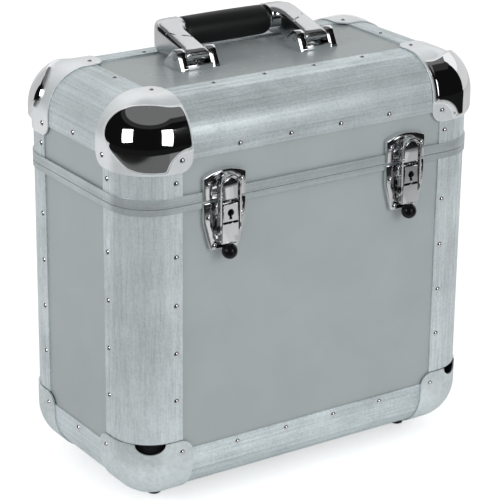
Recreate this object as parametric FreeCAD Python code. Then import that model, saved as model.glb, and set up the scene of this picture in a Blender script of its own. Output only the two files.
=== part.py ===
import FreeCAD, Part
import math
import os

os.makedirs("parts", exist_ok=True)

V = FreeCAD.Vector
X = V(1, 0, 0)
Y = V(0, 1, 0)
Z = V(0, 0, 1)

# Case shell, measured over the edge extrusions
case_width = 360.0
case_depth = 195.0
case_height = 354.0
lid_height = 85.6
seam_gap = 0.4

# Edge extrusions and boards
edge_radius = 38.0
edge_reach = 47.5
edge_wall = 1.5
board = 5.0
fin_wall = 1.2
web_wall = 1.2
rivet_line = 41.5

# Rivets
rivet_shank = 1.4
rivet_hole_gap = 0.1
rivet_head = 2.6
rivet_head_rise = 1.3
rivet_tail = 2.2
rivet_tail_rise = 0.8
row_first_rise = 37.5
row_last_drop = 44.3
row_count = 4
lid_row_rise = 19.8
top_last_inset = 65.5
top_count = 4

# Corner caps
cap_reach = 57.0
cap_round = 12.0
flange_wall = 1.4
cap_rivet_inset = 10.5
dome_rise = 4.4
dome_wall = 1.3
dome_short = 2.5
dome_lobe_gap = 10.0
dome_lobe_round = 7.0
notch_radius = 22.0
notch_depth = 7.5
upright_gap = 0.4

# Rim profiles
rim_proud = 1.2
rim_web = 1.5
body_band = 5.4
lid_band = 8.0
rim_inner_lip = 10.0
rim_inner_wall = 1.2
tongue_rise = 3.6
tongue_wall = 2.5
tongue_inset = 3.2
groove_room = 4.2

# Feet
foot_radius = 6.8
foot_taper = 1.0
foot_height = 9.9
foot_screw_head = 3.2
foot_screw_rise = 1.8
foot_screw_recess = 1.2

# Foam pads
pad_thick = 6.0
pad_gap = 1.5

# Hinges
hinge_inset = 57.0
hinge_leaf_width = 60.0
hinge_leaf_wall = 1.5
hinge_knuckle = 3.6
hinge_pin = 1.6
hinge_pin_gap = 0.05
hinge_leaf_drop = 32.0
hinge_step = 9.5
hinge_knuckles = 5
hinge_knuckle_gap = 0.3
hinge_clear = 0.4
hinge_rivet_inset = 7.0
hinge_rivet_drop = 24.0

# Latch plates, with heights measured up or down from the seam
latch_inset = 48.6
plate_half = 20.5
plate_rise = 3.5
plate_wall = 1.2
keeper_foot_gap = 0.4
keeper_side_rise = 21.1
keeper_arch_rise = 25.9
keeper_ridge_rise = 10.6
keeper_ridge_deep = 1.5
keeper_ridge_tall = 3.0
keeper_ridge_half = 7.0
base_top_drop = 0.8
base_taper_drop = 18.4
base_bottom_drop = 43.4
base_bottom_half = 14.5
plate_rim_gap = 0.3
plate_rivet_x = 16.3
keeper_rivet_rise = 14.6
base_rivet_drop = 14.4
cheek_inner = 11.0
cheek_wall = 1.5
cheek_rise = 9.9
cheek_top_drop = 0.4
cheek_bottom_drop = 10.9

# Latch lever
lever_half = 8.4
lever_face = 11.7
lever_wall = 1.2
lever_back = 4.3
lever_top_drop = 0.4
lever_length = 36.0
lever_groove = 1.0
lever_groove_deep = 0.5
lever_groove_drop = 18.0
lever_corner = 2.0
pivot_depth = 7.5
pivot_drop = 3.5
pin_radius = 1.3
pin_gap = 0.05
pin_head = 2.2
pin_head_rise = 0.8
link_depth = 7.0
link_rise = 10.0

# Lock plug
plug_drop = 10.5
plug_radius = 4.2
plug_gap = 0.05
plug_front_gap = 0.1
plug_back = 5.6
plug_boss_wall = 0.8
cam_wall = 1.1
cam_gap = 0.2
cam_reach = 6.3
cam_half = 1.8
key_round = 2.3
key_round_rise = 1.2
key_slot_half = 0.9
key_slot_drop = 3.5
key_deep = 4.0

# Hook
hook_half = 10.4
hook_wall = 1.5
hook_front = 12.2
hook_band_back = 9.4
hook_rise = 23.2
hook_tab_radius = 3.0
hook_tongue_half = 7.3
hook_tongue_wall = 1.2
hook_tongue_front = 11.3
hook_tongue_rise = 1.0
hook_bridge = 4.0
hook_tip_rise = 14.6
hook_tip_tall = 3.0
hook_tip_half = 5.0
hook_tip_gap = 0.3

# Ball tip of the lever
tip_radius = 6.7
tip_depth = 10.6
tip_neck = 0.7
stem_radius = 2.2
stem_short = 0.9
stem_depth = 9.4

# Handle
bracket_x = 61.6
bracket_half = 19.5
bracket_front = 13.0
bracket_back = 15.0
bracket_plate = 2.0
bracket_rise = 17.0
ear_wall = 8.0
ear_round = 7.0
window_lip = 4.5
bracket_screw_x = 5.0
bracket_screw_y = 10.0
knuckle_radius = 5.8
knuckle_gap = 0.5
handle_pivot_y = -3.0
handle_pivot_rise = 11.0
handle_pin = 2.2
handle_pin_gap = 0.05
grip_half = 46.0
grip_y = 50.0
grip_rise = 16.1
grip_deep = 13.5
grip_tall = 13.5
grip_end_wall = 3.0
collar_radius = 10.5
arm_outer_round = 25.0
arm_inner_y = 24.0
arm_turn_share = 0.33

# One overrun for every cut, and how near an edge must lie to a line to be picked
over = 2.0
pick_gap = 0.4

# Where an arc of a quarter turn passes its middle, as a share of its radius
diagonal_share = math.sqrt(0.5)

# Sizes worked out from the values above
half_w = case_width / 2
half_d = case_depth / 2
board_in = edge_wall + board
shell_in = board_in + fin_wall
foot_rise = flange_wall + foot_height
front_reach = tip_depth + tip_radius
hinge_axis_out = rim_proud + hinge_clear + hinge_knuckle
back_reach = hinge_axis_out + hinge_knuckle
shift_y = (front_reach - back_reach) / 2
seam_height = case_height - lid_height
body_top = seam_height - rim_web
lid_bottom = seam_height + seam_gap + groove_room + rim_web
flat_x = half_w - edge_radius
flat_y = half_d - edge_radius
cap_rivet_line = cap_reach - cap_rivet_inset
dome_reach = cap_reach - dome_short
dome_lobe_line = cap_rivet_line - dome_lobe_gap
row_first = cap_reach + row_first_rise
row_pitch = (seam_height - row_last_drop - row_first) / (row_count - 1)
lid_row_height = seam_height + lid_row_rise
top_pitch = 2 * (flat_x - top_last_inset) / (top_count - 1)
hinge_x = flat_x - hinge_inset
latch_x = flat_x - latch_inset
keeper_side_top = seam_height + keeper_side_rise
keeper_arch_top = seam_height + keeper_arch_rise
keeper_ridge_height = seam_height + keeper_ridge_rise
keeper_rivet_height = seam_height + keeper_rivet_rise
base_top = seam_height - base_top_drop
base_taper_start = seam_height - base_taper_drop
base_bottom = seam_height - base_bottom_drop
base_rivet_top = seam_height - base_rivet_drop
cheek_top = seam_height - cheek_top_drop
cheek_bottom = seam_height - cheek_bottom_drop
lever_top = seam_height - lever_top_drop
lever_bottom = lever_top - lever_length
lever_groove_height = lever_top - lever_groove_drop
pivot_height = lever_top - pivot_drop
link_height = lever_bottom + link_rise
plug_height = lever_top - plug_drop
key_round_height = plug_height + key_round_rise
key_slot_bottom = plug_height - key_slot_drop
hook_top = seam_height + hook_rise
hook_tongue_bottom = seam_height + hook_tongue_rise
hook_tip_height = seam_height + hook_tip_rise
tip_height = lever_bottom - tip_neck - tip_radius
stem_length = tip_neck + tip_radius - stem_short


def box(x0, x1, y0, y1, z0, z1):
    return Part.makeBox(x1 - x0, y1 - y0, z1 - z0, V(x0, y0, z0))


def rod(radius, start, end):
    return Part.makeCylinder(radius, (end - start).Length, start, end - start)


def fuse(shapes):
    first = shapes[0]
    if len(shapes) > 1:
        first = first.fuse(shapes[1:])
    return first.removeSplitter()


def group(shapes):
    return Part.makeCompound(shapes)


def save(name, shape):
    placed = shape.copy()
    placed.translate(V(0, shift_y, foot_rise))
    placed.exportStep("parts/" + name + ".step")


def mirror_x(shape):
    return shape.mirror(V(0, 0, 0), X)


def mirror_y(shape):
    return shape.mirror(V(0, 0, 0), Y)


# A rounded rectangle seen from above, moved in from the shell by inset
def plan_face(inset):
    w = half_w - inset
    d = half_d - inset
    r = edge_radius - inset
    s = r * diagonal_share
    centres = ((w - r, d - r, 1, 1), (-w + r, d - r, -1, 1),
               (-w + r, -d + r, -1, -1), (w - r, -d + r, 1, -1))
    edges = []
    for i, (cx, cy, sx, sy) in enumerate(centres):
        start = V(cx + r * sx, cy, 0) if sx * sy > 0 else V(cx, cy + r * sy, 0)
        end = V(cx, cy + r * sy, 0) if sx * sy > 0 else V(cx + r * sx, cy, 0)
        mid = V(cx + s * sx, cy + s * sy, 0)
        edges.append(Part.Arc(start, mid, end).toShape())
        nx, ny, nsx, nsy = centres[(i + 1) % 4]
        after = V(nx + r * nsx, ny, 0) if nsx * nsy > 0 else V(nx, ny + r * nsy, 0)
        edges.append(Part.LineSegment(end, after).toShape())
    return Part.Face(Part.Wire(edges))


def ring(outer, inner, z0, z1):
    solid = plan_face(outer).extrude(V(0, 0, z1 - z0))
    hole = plan_face(inner).extrude(V(0, 0, z1 - z0))
    band = solid.cut(hole)
    band.translate(V(0, 0, z0))
    return band


# Quarter arc about the edge's rounding centre, from the u side to the v side
def quarter(radius, setback):
    c = edge_radius
    drop = math.sqrt(radius * radius - setback * setback)
    s = radius * diagonal_share
    a = V(c - setback, c - drop, 0)
    b = V(c - drop, c - setback, 0)
    return a, V(c - s, c - s, 0), b


# The extrusion's section: u and v run in from the two outer faces
def edge_section():
    r = edge_radius
    o0, om, o1 = quarter(r, 0)
    i0, im, i1 = quarter(r - shell_in, 0)
    outer = [
        Part.LineSegment(V(edge_reach, 0, 0), o0).toShape(),
        Part.Arc(o0, om, o1).toShape(),
    ]
    points = [o1, V(0, edge_reach, 0), V(edge_wall, edge_reach, 0), V(edge_wall, r, 0)]
    points += [V(board_in, r, 0), V(board_in, edge_reach, 0), V(shell_in, edge_reach, 0), i1]
    outer += [Part.LineSegment(a, b).toShape() for a, b in zip(points, points[1:])]
    outer.append(Part.Arc(i1, im, i0).toShape())
    points = [i0, V(edge_reach, shell_in, 0), V(edge_reach, board_in, 0), V(r, board_in, 0)]
    points += [V(r, edge_wall, 0), V(edge_reach, edge_wall, 0), V(edge_reach, 0, 0)]
    outer += [Part.LineSegment(a, b).toShape() for a, b in zip(points, points[1:])]
    a0, am, a1 = quarter(r - edge_wall, web_wall)
    b0, bm, b1 = quarter(r - board_in, web_wall)
    hollow = [
        Part.Arc(a0, am, a1).toShape(),
        Part.LineSegment(a1, b1).toShape(),
        Part.Arc(b1, bm, b0).toShape(),
        Part.LineSegment(b0, a0).toShape(),
    ]
    outline = Part.Face(Part.Wire(outer))
    return outline.cut(Part.Face(Part.Wire(hollow)))


# The section's inner wall alone, which runs on behind the bottom corner's gap
def inner_section():
    a0, am, a1 = quarter(edge_radius - board_in, 0)
    b0, bm, b1 = quarter(edge_radius - shell_in, 0)
    edges = [
        Part.Arc(a0, am, a1).toShape(),
        Part.LineSegment(a1, b1).toShape(),
        Part.Arc(b1, bm, b0).toShape(),
        Part.LineSegment(b0, a0).toShape(),
    ]
    return Part.Face(Part.Wire(edges))


# Turns a section drawn in u, v and extruded along w into place: axes give u, v and w
def oriented(shape, origin, u, v, w):
    m = FreeCAD.Matrix(u.x, v.x, w.x, origin.x, u.y, v.y, w.y, origin.y,
                       u.z, v.z, w.z, origin.z, 0, 0, 0, 1)
    return shape.transformGeometry(m) if u.cross(v).dot(w) < 0 else shape.transformed(m)


def upright(z0, z1):
    post = edge_section().extrude(V(0, 0, z1 - z0))
    return oriented(post, V(-half_w, -half_d, z0), X, Y, Z)


def rail_x(top):
    span = case_width - 2 * edge_radius
    z = case_height if top else 0
    up = Z * -1 if top else Z
    rail = edge_section().extrude(V(0, 0, span))
    v_axis, u_axis = up, Y
    if u_axis.cross(v_axis).dot(X) < 0:
        u_axis, v_axis = v_axis, u_axis
    return oriented(rail, V(-half_w + edge_radius, -half_d, z), u_axis, v_axis, X)


# The end rails stop at the long rails' legs, under the corner caps
def rail_y(top):
    span = case_depth - 2 * edge_reach
    z = case_height if top else 0
    up = Z * -1 if top else Z
    rail = edge_section().extrude(V(0, 0, span))
    u_axis, v_axis = up, X
    if u_axis.cross(v_axis).dot(Y) < 0:
        u_axis, v_axis = v_axis, u_axis
    return oriented(rail, V(-half_w, -half_d + edge_reach, z), u_axis, v_axis, Y)


# Rivets stand on a face at a point, with the outward normal; skins is what they pass through
def rivet(point, normal, skins):
    n = V(normal)
    ball = (rivet_head * rivet_head + rivet_head_rise * rivet_head_rise) / (2 * rivet_head_rise)
    dome = Part.makeSphere(ball, point + n * (rivet_head_rise - ball))
    head = dome.common(rod(rivet_head + over, point, point + n * (rivet_head_rise + over)))
    shank = rod(rivet_shank, point - n * skins, point)
    tail = rod(rivet_tail, point - n * (skins + rivet_tail_rise), point - n * skins)
    return fuse([head, shank, tail])


def drill(point, normal, skins):
    n = V(normal)
    return rod(rivet_shank + rivet_hole_gap, point - n * (skins + over), point + n * over)


def mirrored_places(places):
    found = {}
    for p, n in places:
        for sx in (1, -1):
            for sy in (1, -1):
                q = V(p.x * sx, p.y * sy, p.z)
                m = V(n.x * sx, n.y * sy, n.z)
                key = [round(value, 3) for value in (q.x, q.y, q.z, m.x, m.y, m.z)]
                found[tuple(key)] = (q, m)
    return list(found.values())


row_x = -half_w + rivet_line
row_y = -half_d + rivet_line
top_places_x = [(i - (top_count - 1) / 2) * top_pitch for i in range(top_count)]


def rail_places(z_face, z_leg, n_z):
    places = []
    for x in top_places_x:
        places.append((V(x, -half_d, z_leg), Y * -1))
        places.append((V(x, row_y, z_face), n_z))
    places.append((V(-half_w, 0, z_leg), X * -1))
    places.append((V(row_x, 0, z_face), n_z))
    return places


def cap_places(z_face, z_leg, n_z, with_floor):
    px = -half_w + cap_rivet_line
    py = -half_d + cap_rivet_line
    places = [(V(px, -half_d, z_leg), Y * -1), (V(-half_w, py, z_leg), X * -1)]
    if with_floor:
        places.append((V(px, py, z_face), n_z))
    return [(p + n * flange_wall, n) for p, n in places]


def upright_places(heights):
    places = []
    for z in heights:
        places.append((V(row_x, -half_d, z), Y * -1))
        places.append((V(-half_w, row_y, z), X * -1))
    return places


body_rows = upright_places([row_first + i * row_pitch for i in range(row_count)])
body_plain = mirrored_places(body_rows + rail_places(0, rivet_line, Z * -1))
body_caps = mirrored_places(cap_places(0, cap_rivet_line, Z * -1, False))
lid_plain = mirrored_places(upright_places([lid_row_height])
                            + rail_places(case_height, case_height - rivet_line, Z))
lid_caps = mirrored_places(cap_places(case_height, case_height - cap_rivet_line, Z, True))
cap_skins = shell_in + flange_wall

body_bores = [drill(p, n, shell_in) for p, n in body_plain]
body_drills = group(body_bores + [drill(p, n, cap_skins) for p, n in body_caps])
lid_bores = [drill(p, n, shell_in) for p, n in lid_plain]
lid_drills = group(lid_bores + [drill(p, n, cap_skins) for p, n in lid_caps])


# The shell's corner grown outwards by grow: a box with three rounded edges
def corner_block(grow):
    far = cap_reach + over
    block = Part.makeBox(far + grow, far + grow, far + grow, V(-grow, -grow, -grow))
    picked = []
    for e in block.Edges:
        low = [min(v.Point[i] for v in e.Vertexes) for i in range(3)]
        high = [max(v.Point[i] for v in e.Vertexes) for i in range(3)]
        flat = [i for i in range(3) if abs(low[i] - high[i]) < pick_gap and low[i] < far / 2]
        if len(flat) == 2:
            picked.append(e)
    return block.makeFillet(edge_radius + grow, picked)


# A cube out to reach whose three far edges are rounded: the outline of a cap's lobes
def lobe_block(reach, rounding):
    low = dome_rise + over
    block = Part.makeBox(reach + low, reach + low, reach + low, V(-low, -low, -low))
    picked = []
    for e in block.Edges:
        flat = [i for i in range(3) if all(v.Point[i] > reach / 2 for v in e.Vertexes)]
        if len(flat) == 2:
            picked.append(e)
    return block.makeFillet(rounding, picked)


# The dome covers the roundings and keeps off the three rivet lobes
def star_block(reach, line, rounding):
    low = dome_rise + over
    star = Part.makeBox(reach + low, reach + low, reach + low, V(-low, -low, -low))
    side = reach + low
    for i in range(3):
        prism = Part.makeBox(side, side, edge_radius + low, V(line, line, -low))
        picked = [e for e in prism.Edges
                  if all(abs(v.Point.x - line) + abs(v.Point.y - line) < pick_gap for v in e.Vertexes)]
        prism = prism.makeFillet(rounding, picked)
        if i == 1:
            prism.rotate(V(0, 0, 0), V(1, 1, 1), 120)
        if i == 2:
            prism.rotate(V(0, 0, 0), V(1, 1, 1), 240)
        star = star.cut(prism)
    return star


def flange():
    shell = corner_block(flange_wall).cut(corner_block(0))
    return shell.common(lobe_block(cap_reach, cap_round))


def ball_corner():
    dome = corner_block(dome_rise).common(star_block(dome_reach, dome_lobe_line, dome_lobe_round))
    inner_star = star_block(dome_reach - dome_wall, dome_lobe_line - dome_wall, dome_lobe_round)
    hollow = corner_block(dome_rise - dome_wall).common(inner_star)
    solid = flange().fuse(dome.cut(corner_block(0))).cut(hollow)
    return solid.removeSplitter()


def bottom_cap():
    cap = flange()
    rise = cap_reach + notch_radius - notch_depth
    start = V(-dome_reach, -dome_reach, rise)
    notch = rod(notch_radius, start, V(edge_radius, edge_radius, rise))
    return cap.cut(notch)


# From corner sizes (in from the two side faces and up) to the front left place
def to_corner(shape, top):
    if top:
        return oriented(shape, V(-half_w, -half_d, case_height), X, Y, Z * -1)
    return oriented(shape, V(-half_w, -half_d, 0), X, Y, Z)


four = (("front_left", 1, 1), ("front_right", -1, 1), ("back_left", 1, -1), ("back_right", -1, -1))


def at_corner(shape, sx, sy):
    if sx < 0:
        shape = mirror_x(shape)
    if sy < 0:
        shape = mirror_y(shape)
    return shape


# Body boards and extrusions
foot_x = half_w - cap_rivet_line
foot_y = half_d - cap_rivet_line
hinge_rivet_places = [s * (hinge_leaf_width / 2 - hinge_rivet_inset) for s in (1, -1)]


def foot_drills():
    bores = []
    for sx in (1, -1):
        for sy in (1, -1):
            start = V(sx * foot_x, sy * foot_y, -flange_wall - over)
            bores.append(rod(rivet_shank + rivet_hole_gap, start, start + Z * (cap_skins + 2 * over)))
    return group(bores)


def plate_places(rows):
    places = []
    for sx in (1, -1):
        for dx, z in rows:
            for s in (1, -1):
                places.append(V(sx * latch_x + s * dx, -half_d - plate_rise, z))
    return places


plate_skins = plate_rise + board_in
base_low_x = base_bottom_half - rivet_head - plate_wall
base_low_z = base_bottom + rivet_head + plate_wall
base_places = plate_places([(plate_rivet_x, base_rivet_top), (base_low_x, base_low_z)])
keeper_places = plate_places([(plate_rivet_x, keeper_rivet_height)])
hinge_face = half_d - edge_wall + hinge_leaf_wall


def hinge_places(direction):
    z = seam_height + direction * hinge_rivet_drop
    return [V(sx * hinge_x + dx, hinge_face, z) for sx in (1, -1) for dx in hinge_rivet_places]


base_drills = group([drill(p, Y * -1, plate_skins) for p in base_places])
keeper_drills = group([drill(p, Y * -1, plate_skins) for p in keeper_places])
low_hinge_drills = group([drill(p, Y, hinge_leaf_wall + board) for p in hinge_places(-1)])
high_hinge_drills = group([drill(p, Y, hinge_leaf_wall + board) for p in hinge_places(1)])

front = box(-flat_x, flat_x, -half_d + edge_wall, -half_d + board_in, edge_radius, body_top)
save("front_board", front.cut(body_drills).cut(base_drills))
save("back_board", mirror_y(front).cut(body_drills).cut(low_hinge_drills))
side = box(-half_w + edge_wall, -half_w + board_in, -flat_y, flat_y, edge_radius, body_top).cut(body_drills)
save("left_board", side)
save("right_board", mirror_x(side))
floor_board = box(-flat_x, flat_x, -flat_y, flat_y, edge_wall, board_in)
save("bottom_board", floor_board.cut(body_drills).cut(foot_drills()))

post = upright(cap_reach + upright_gap, body_top)
inner_post = inner_section().extrude(V(0, 0, cap_reach + upright_gap - edge_radius))
inner_post.translate(V(-half_w, -half_d, edge_radius))
post = fuse([post, inner_post])
rail_front = rail_x(False)
rail_side = rail_y(False)
cap_bottom = to_corner(bottom_cap(), False)
for name, sx, sy in four:
    save("body_edge_" + name, at_corner(post, sx, sy).cut(body_drills))
    save("bottom_cap_" + name, at_corner(cap_bottom, sx, sy).cut(body_drills).cut(foot_drills()))
save("bottom_edge_front", rail_front.cut(body_drills).cut(foot_drills()))
save("bottom_edge_back", mirror_y(rail_front).cut(body_drills).cut(foot_drills()))
save("bottom_edge_left", rail_side.cut(body_drills).cut(foot_drills()))
save("bottom_edge_right", mirror_x(rail_side).cut(body_drills).cut(foot_drills()))


def body_rim():
    top = seam_height
    web = ring(-rim_proud, shell_in + rim_inner_wall, top - rim_web, top)
    band = ring(-rim_proud, 0, top - body_band, top)
    lip = ring(shell_in, shell_in + rim_inner_wall, top - rim_inner_lip, top)
    tongue = ring(tongue_inset, tongue_inset + tongue_wall, top - rim_web, top + tongue_rise)
    return fuse([web, band, lip, tongue])


def lid_rim():
    low = seam_height + seam_gap
    web = ring(-rim_proud, shell_in + rim_inner_wall, lid_bottom - rim_web, lid_bottom)
    band = ring(-rim_proud, 0, low, low + lid_band)
    lip = ring(shell_in, shell_in + rim_inner_wall, low, lid_bottom + rim_inner_lip)
    return fuse([web, band, lip])


save("body_rim", body_rim())
body_rivets = [rivet(p, n, shell_in) for p, n in body_plain]
body_rivets += [rivet(p, n, cap_skins) for p, n in body_caps]
body_rivets += [rivet(p, Y * -1, plate_skins) for p in base_places]
body_rivets += [rivet(p, Y, hinge_leaf_wall + board) for p in hinge_places(-1)]


def foot(sx, sy):
    base = V(sx * foot_x, sy * foot_y, -foot_rise)
    body = Part.makeCone(foot_radius - foot_taper, foot_radius, foot_height, base, Z)
    recess_top = foot_screw_recess + foot_screw_rise
    recess = rod(foot_screw_head + rivet_hole_gap, base - Z * over, base + Z * recess_top)
    bore = rod(rivet_shank + rivet_hole_gap, base, base + Z * (foot_height + over))
    return body.cut(recess).cut(bore)


def foot_screw(sx, sy):
    base = V(sx * foot_x, sy * foot_y, -foot_rise + foot_screw_recess)
    head = rod(foot_screw_head, base, base + Z * foot_screw_rise)
    shank_end = foot_height + cap_skins - foot_screw_recess
    shank = rod(rivet_shank, base, base + Z * shank_end)
    tail = rod(rivet_tail, base + Z * shank_end, base + Z * (shank_end + rivet_tail_rise))
    return fuse([head, shank, tail])


corner_signs = [(sx, sy) for sx in (1, -1) for sy in (1, -1)]
save("feet", group([foot(sx, sy) for sx, sy in corner_signs]))
body_rivets += [foot_screw(sx, sy) for sx, sy in corner_signs]
save("body_fasteners", group(body_rivets))


def pad(z0, z1):
    inset = edge_reach + pad_gap
    return box(-half_w + inset, half_w - inset, -half_d + inset, half_d - inset, z0, z1)


save("base_pad", pad(board_in, board_in + pad_thick))


# Hinge leaves: a plate on the board, a step over the rims and knuckles on the axis
axis_z = seam_height + seam_gap / 2
axis_y = half_d + hinge_axis_out


def hinge_leaf(direction, cx):
    low_x = cx - hinge_leaf_width / 2
    high_x = cx + hinge_leaf_width / 2
    far = axis_z + direction * hinge_leaf_drop
    step = axis_z + direction * hinge_step
    near = axis_z + direction * hinge_knuckle_gap
    back_face = half_d - edge_wall
    outer_face = half_d + rim_proud + hinge_clear
    plate = box(low_x, high_x, back_face, back_face + hinge_leaf_wall, min(far, step), max(far, step))
    inner = step + direction * hinge_leaf_wall
    web = box(low_x, high_x, back_face, outer_face + hinge_leaf_wall, min(step, inner), max(step, inner))
    cover = box(low_x, high_x, outer_face, outer_face + hinge_leaf_wall, min(step, near), max(step, near))
    pitch = hinge_leaf_width / hinge_knuckles
    side_gap = hinge_knuckle_gap / 2
    own = []
    room = []
    for i in range(hinge_knuckles):
        mine = (i % 2 == 0) == (direction < 0)
        start = low_x + i * pitch
        if mine:
            own.append(rod(hinge_knuckle, V(start + side_gap, axis_y, axis_z),
                           V(start + pitch - side_gap, axis_y, axis_z)))
        else:
            room.append(rod(hinge_knuckle + hinge_knuckle_gap, V(start - side_gap, axis_y, axis_z),
                            V(start + pitch + side_gap, axis_y, axis_z)))
    leaf = fuse([plate, web, cover] + own)
    leaf = leaf.cut(group(room))
    bore = rod(hinge_pin + hinge_pin_gap, V(low_x - over, axis_y, axis_z), V(high_x + over, axis_y, axis_z))
    return leaf.cut(bore)


def hinge_rod(cx):
    reach = hinge_leaf_width / 2
    pin = rod(hinge_pin, V(cx - reach, axis_y, axis_z), V(cx + reach, axis_y, axis_z))
    heads = [rod(hinge_knuckle - hinge_pin_gap, V(cx + s * reach, axis_y, axis_z),
                 V(cx + s * (reach + hinge_leaf_wall / 2), axis_y, axis_z)) for s in (1, -1)]
    return fuse([pin] + heads)


low_leaves = group([hinge_leaf(-1, s * hinge_x) for s in (1, -1)])
high_leaves = group([hinge_leaf(1, s * hinge_x) for s in (1, -1)])
save("hinge_leaves_body", low_leaves.cut(low_hinge_drills))
save("hinge_leaves_lid", high_leaves.cut(high_hinge_drills))
save("hinge_pins", group([hinge_rod(s * hinge_x) for s in (1, -1)]))

# Lid boards, extrusions and corners
top_face = case_height - edge_wall
lid_top_z = case_height - edge_radius
bracket_screws = [V(s * bracket_x + dx, bracket_screw_y, top_face + bracket_plate)
                  for s in (1, -1) for dx in (-bracket_screw_x, bracket_screw_x)]
bracket_drills = group([drill(p, Z, bracket_plate + board) for p in bracket_screws])
lid_front = box(-flat_x, flat_x, -half_d + edge_wall, -half_d + board_in, lid_bottom, lid_top_z)
save("lid_front_board", lid_front.cut(lid_drills).cut(keeper_drills))
save("lid_back_board", mirror_y(lid_front).cut(lid_drills).cut(high_hinge_drills))
lid_end = box(-half_w + edge_wall, -half_w + board_in, -flat_y, flat_y, lid_bottom, lid_top_z)
lid_end = lid_end.cut(lid_drills)
save("lid_end_boards", group([lid_end, mirror_x(lid_end)]))
lid_top = box(-flat_x, flat_x, -flat_y, flat_y, case_height - board_in, top_face)
save("lid_top_board", lid_top.cut(lid_drills).cut(bracket_drills))
lid_post = upright(lid_bottom, case_height - edge_reach)
save("lid_edges", group([at_corner(lid_post, sx, sy).cut(lid_drills) for name, sx, sy in four]))
rail_front = rail_x(True)
rail_side = rail_y(True)
save("top_edge_front", rail_front.cut(lid_drills))
save("top_edge_back", mirror_y(rail_front).cut(lid_drills))
save("top_edge_left", rail_side.cut(lid_drills))
save("top_edge_right", mirror_x(rail_side).cut(lid_drills))
ball = to_corner(ball_corner(), True)
for name, sx, sy in four:
    save("ball_corner_" + name, at_corner(ball, sx, sy).cut(lid_drills))
save("lid_rim", lid_rim())
lid_rivets = [rivet(p, n, shell_in) for p, n in lid_plain]
lid_rivets += [rivet(p, n, cap_skins) for p, n in lid_caps]
lid_rivets += [rivet(p, Y * -1, plate_skins) for p in keeper_places]
lid_rivets += [rivet(p, Y, hinge_leaf_wall + board) for p in hinge_places(1)]
lid_rivets += [rivet(p, Z, bracket_plate + board) for p in bracket_screws]
save("lid_fasteners", group(lid_rivets))
lid_foam = pad(case_height - board_in - pad_thick, case_height - board_in)
tails = [rod(rivet_tail + pad_gap, V(p.x, p.y, case_height - board_in - over), V(p.x, p.y, case_height))
         for p in bracket_screws]
save("lid_pad", lid_foam.cut(group(tails)))


# Outlines on the front are drawn in x and z; a step with two points is an arc
def outline(start, steps):
    edges = []
    last = V(start[0], 0, start[1])
    for step in steps:
        end = V(step[-1][0], 0, step[-1][1])
        if len(step) == 2:
            edges.append(Part.Arc(last, V(step[0][0], 0, step[0][1]), end).toShape())
        else:
            edges.append(Part.LineSegment(last, end).toShape())
        last = end
    return Part.Face(Part.Wire(edges))


# Depths on the front are measured out from the shell's front plane
def prism(face, near, far):
    solid = face.extrude(V(0, near - far, 0))
    solid.translate(V(0, -half_d - near, 0))
    return solid


def front_box(x0, x1, near, far, z0, z1):
    return box(x0, x1, -half_d - far, -half_d - near, z0, z1)


def front_rod(radius, depth0, depth1, x, z):
    return rod(radius, V(x, -half_d - depth0, z), V(x, -half_d - depth1, z))


def cross_rod(radius, half, depth, z):
    return rod(radius, V(-half, -half_d - depth, z), V(half, -half_d - depth, z))


def keeper_outline(inset):
    h = plate_half - inset
    low = seam_height + seam_gap + keeper_foot_gap + inset
    side_top = keeper_side_top - inset
    return outline((-h, low), [[(-h, side_top)], [(0, keeper_arch_top - inset), (h, side_top)], [(h, low)],
                               [(-h, low)]])


def base_outline(inset):
    h = plate_half - inset
    b = base_bottom_half - inset
    top = base_top - inset
    low = base_bottom + inset
    return outline((-h, top), [[(-h, base_taper_start)], [(-b, low)], [(b, low)], [(h, base_taper_start)],
                               [(h, top)], [(-h, top)]])


def keeper():
    shell = prism(keeper_outline(0), -edge_wall, plate_rise)
    shell = shell.cut(prism(keeper_outline(plate_wall), -edge_wall - over, plate_rise - plate_wall))
    rim_top = seam_height + seam_gap + lid_band + plate_rim_gap
    shell = shell.cut(front_box(-plate_half - over, plate_half + over, -edge_wall - over,
                                rim_proud + plate_rim_gap, seam_height - over, rim_top))
    ridge_top = keeper_ridge_height + keeper_ridge_tall
    ridge = front_box(-keeper_ridge_half, keeper_ridge_half, plate_rise - plate_wall / 2,
                      plate_rise + keeper_ridge_deep, keeper_ridge_height, ridge_top)
    return fuse([shell, ridge])


def latch_base():
    shell = prism(base_outline(0), -edge_wall, plate_rise)
    shell = shell.cut(prism(base_outline(plate_wall), -edge_wall - over, plate_rise - plate_wall))
    rim_low = seam_height - body_band - plate_rim_gap
    shell = shell.cut(front_box(-plate_half - over, plate_half + over, -edge_wall - over,
                                rim_proud + plate_rim_gap, rim_low, seam_height + over))
    room = cheek_inner - plate_wall / 2
    shell = shell.cut(front_box(-room, room, rim_proud, plate_rise + over, cheek_bottom,
                                seam_height + over))
    cheeks = []
    for s in (1, -1):
        x0 = s * cheek_inner
        x1 = s * (cheek_inner + cheek_wall)
        cheeks.append(front_box(min(x0, x1), max(x0, x1), plate_rise - plate_wall, cheek_rise,
                                cheek_bottom, cheek_top))
    solid = fuse([shell] + cheeks)
    return solid.cut(cross_rod(pin_radius + pin_gap, plate_half, pivot_depth, pivot_height))


def key_shape(near, far):
    round_part = front_rod(key_round, near, far, 0, key_round_height)
    slot = front_box(-key_slot_half, key_slot_half, near, far, key_slot_bottom, key_round_height)
    return round_part.fuse(slot)


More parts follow.
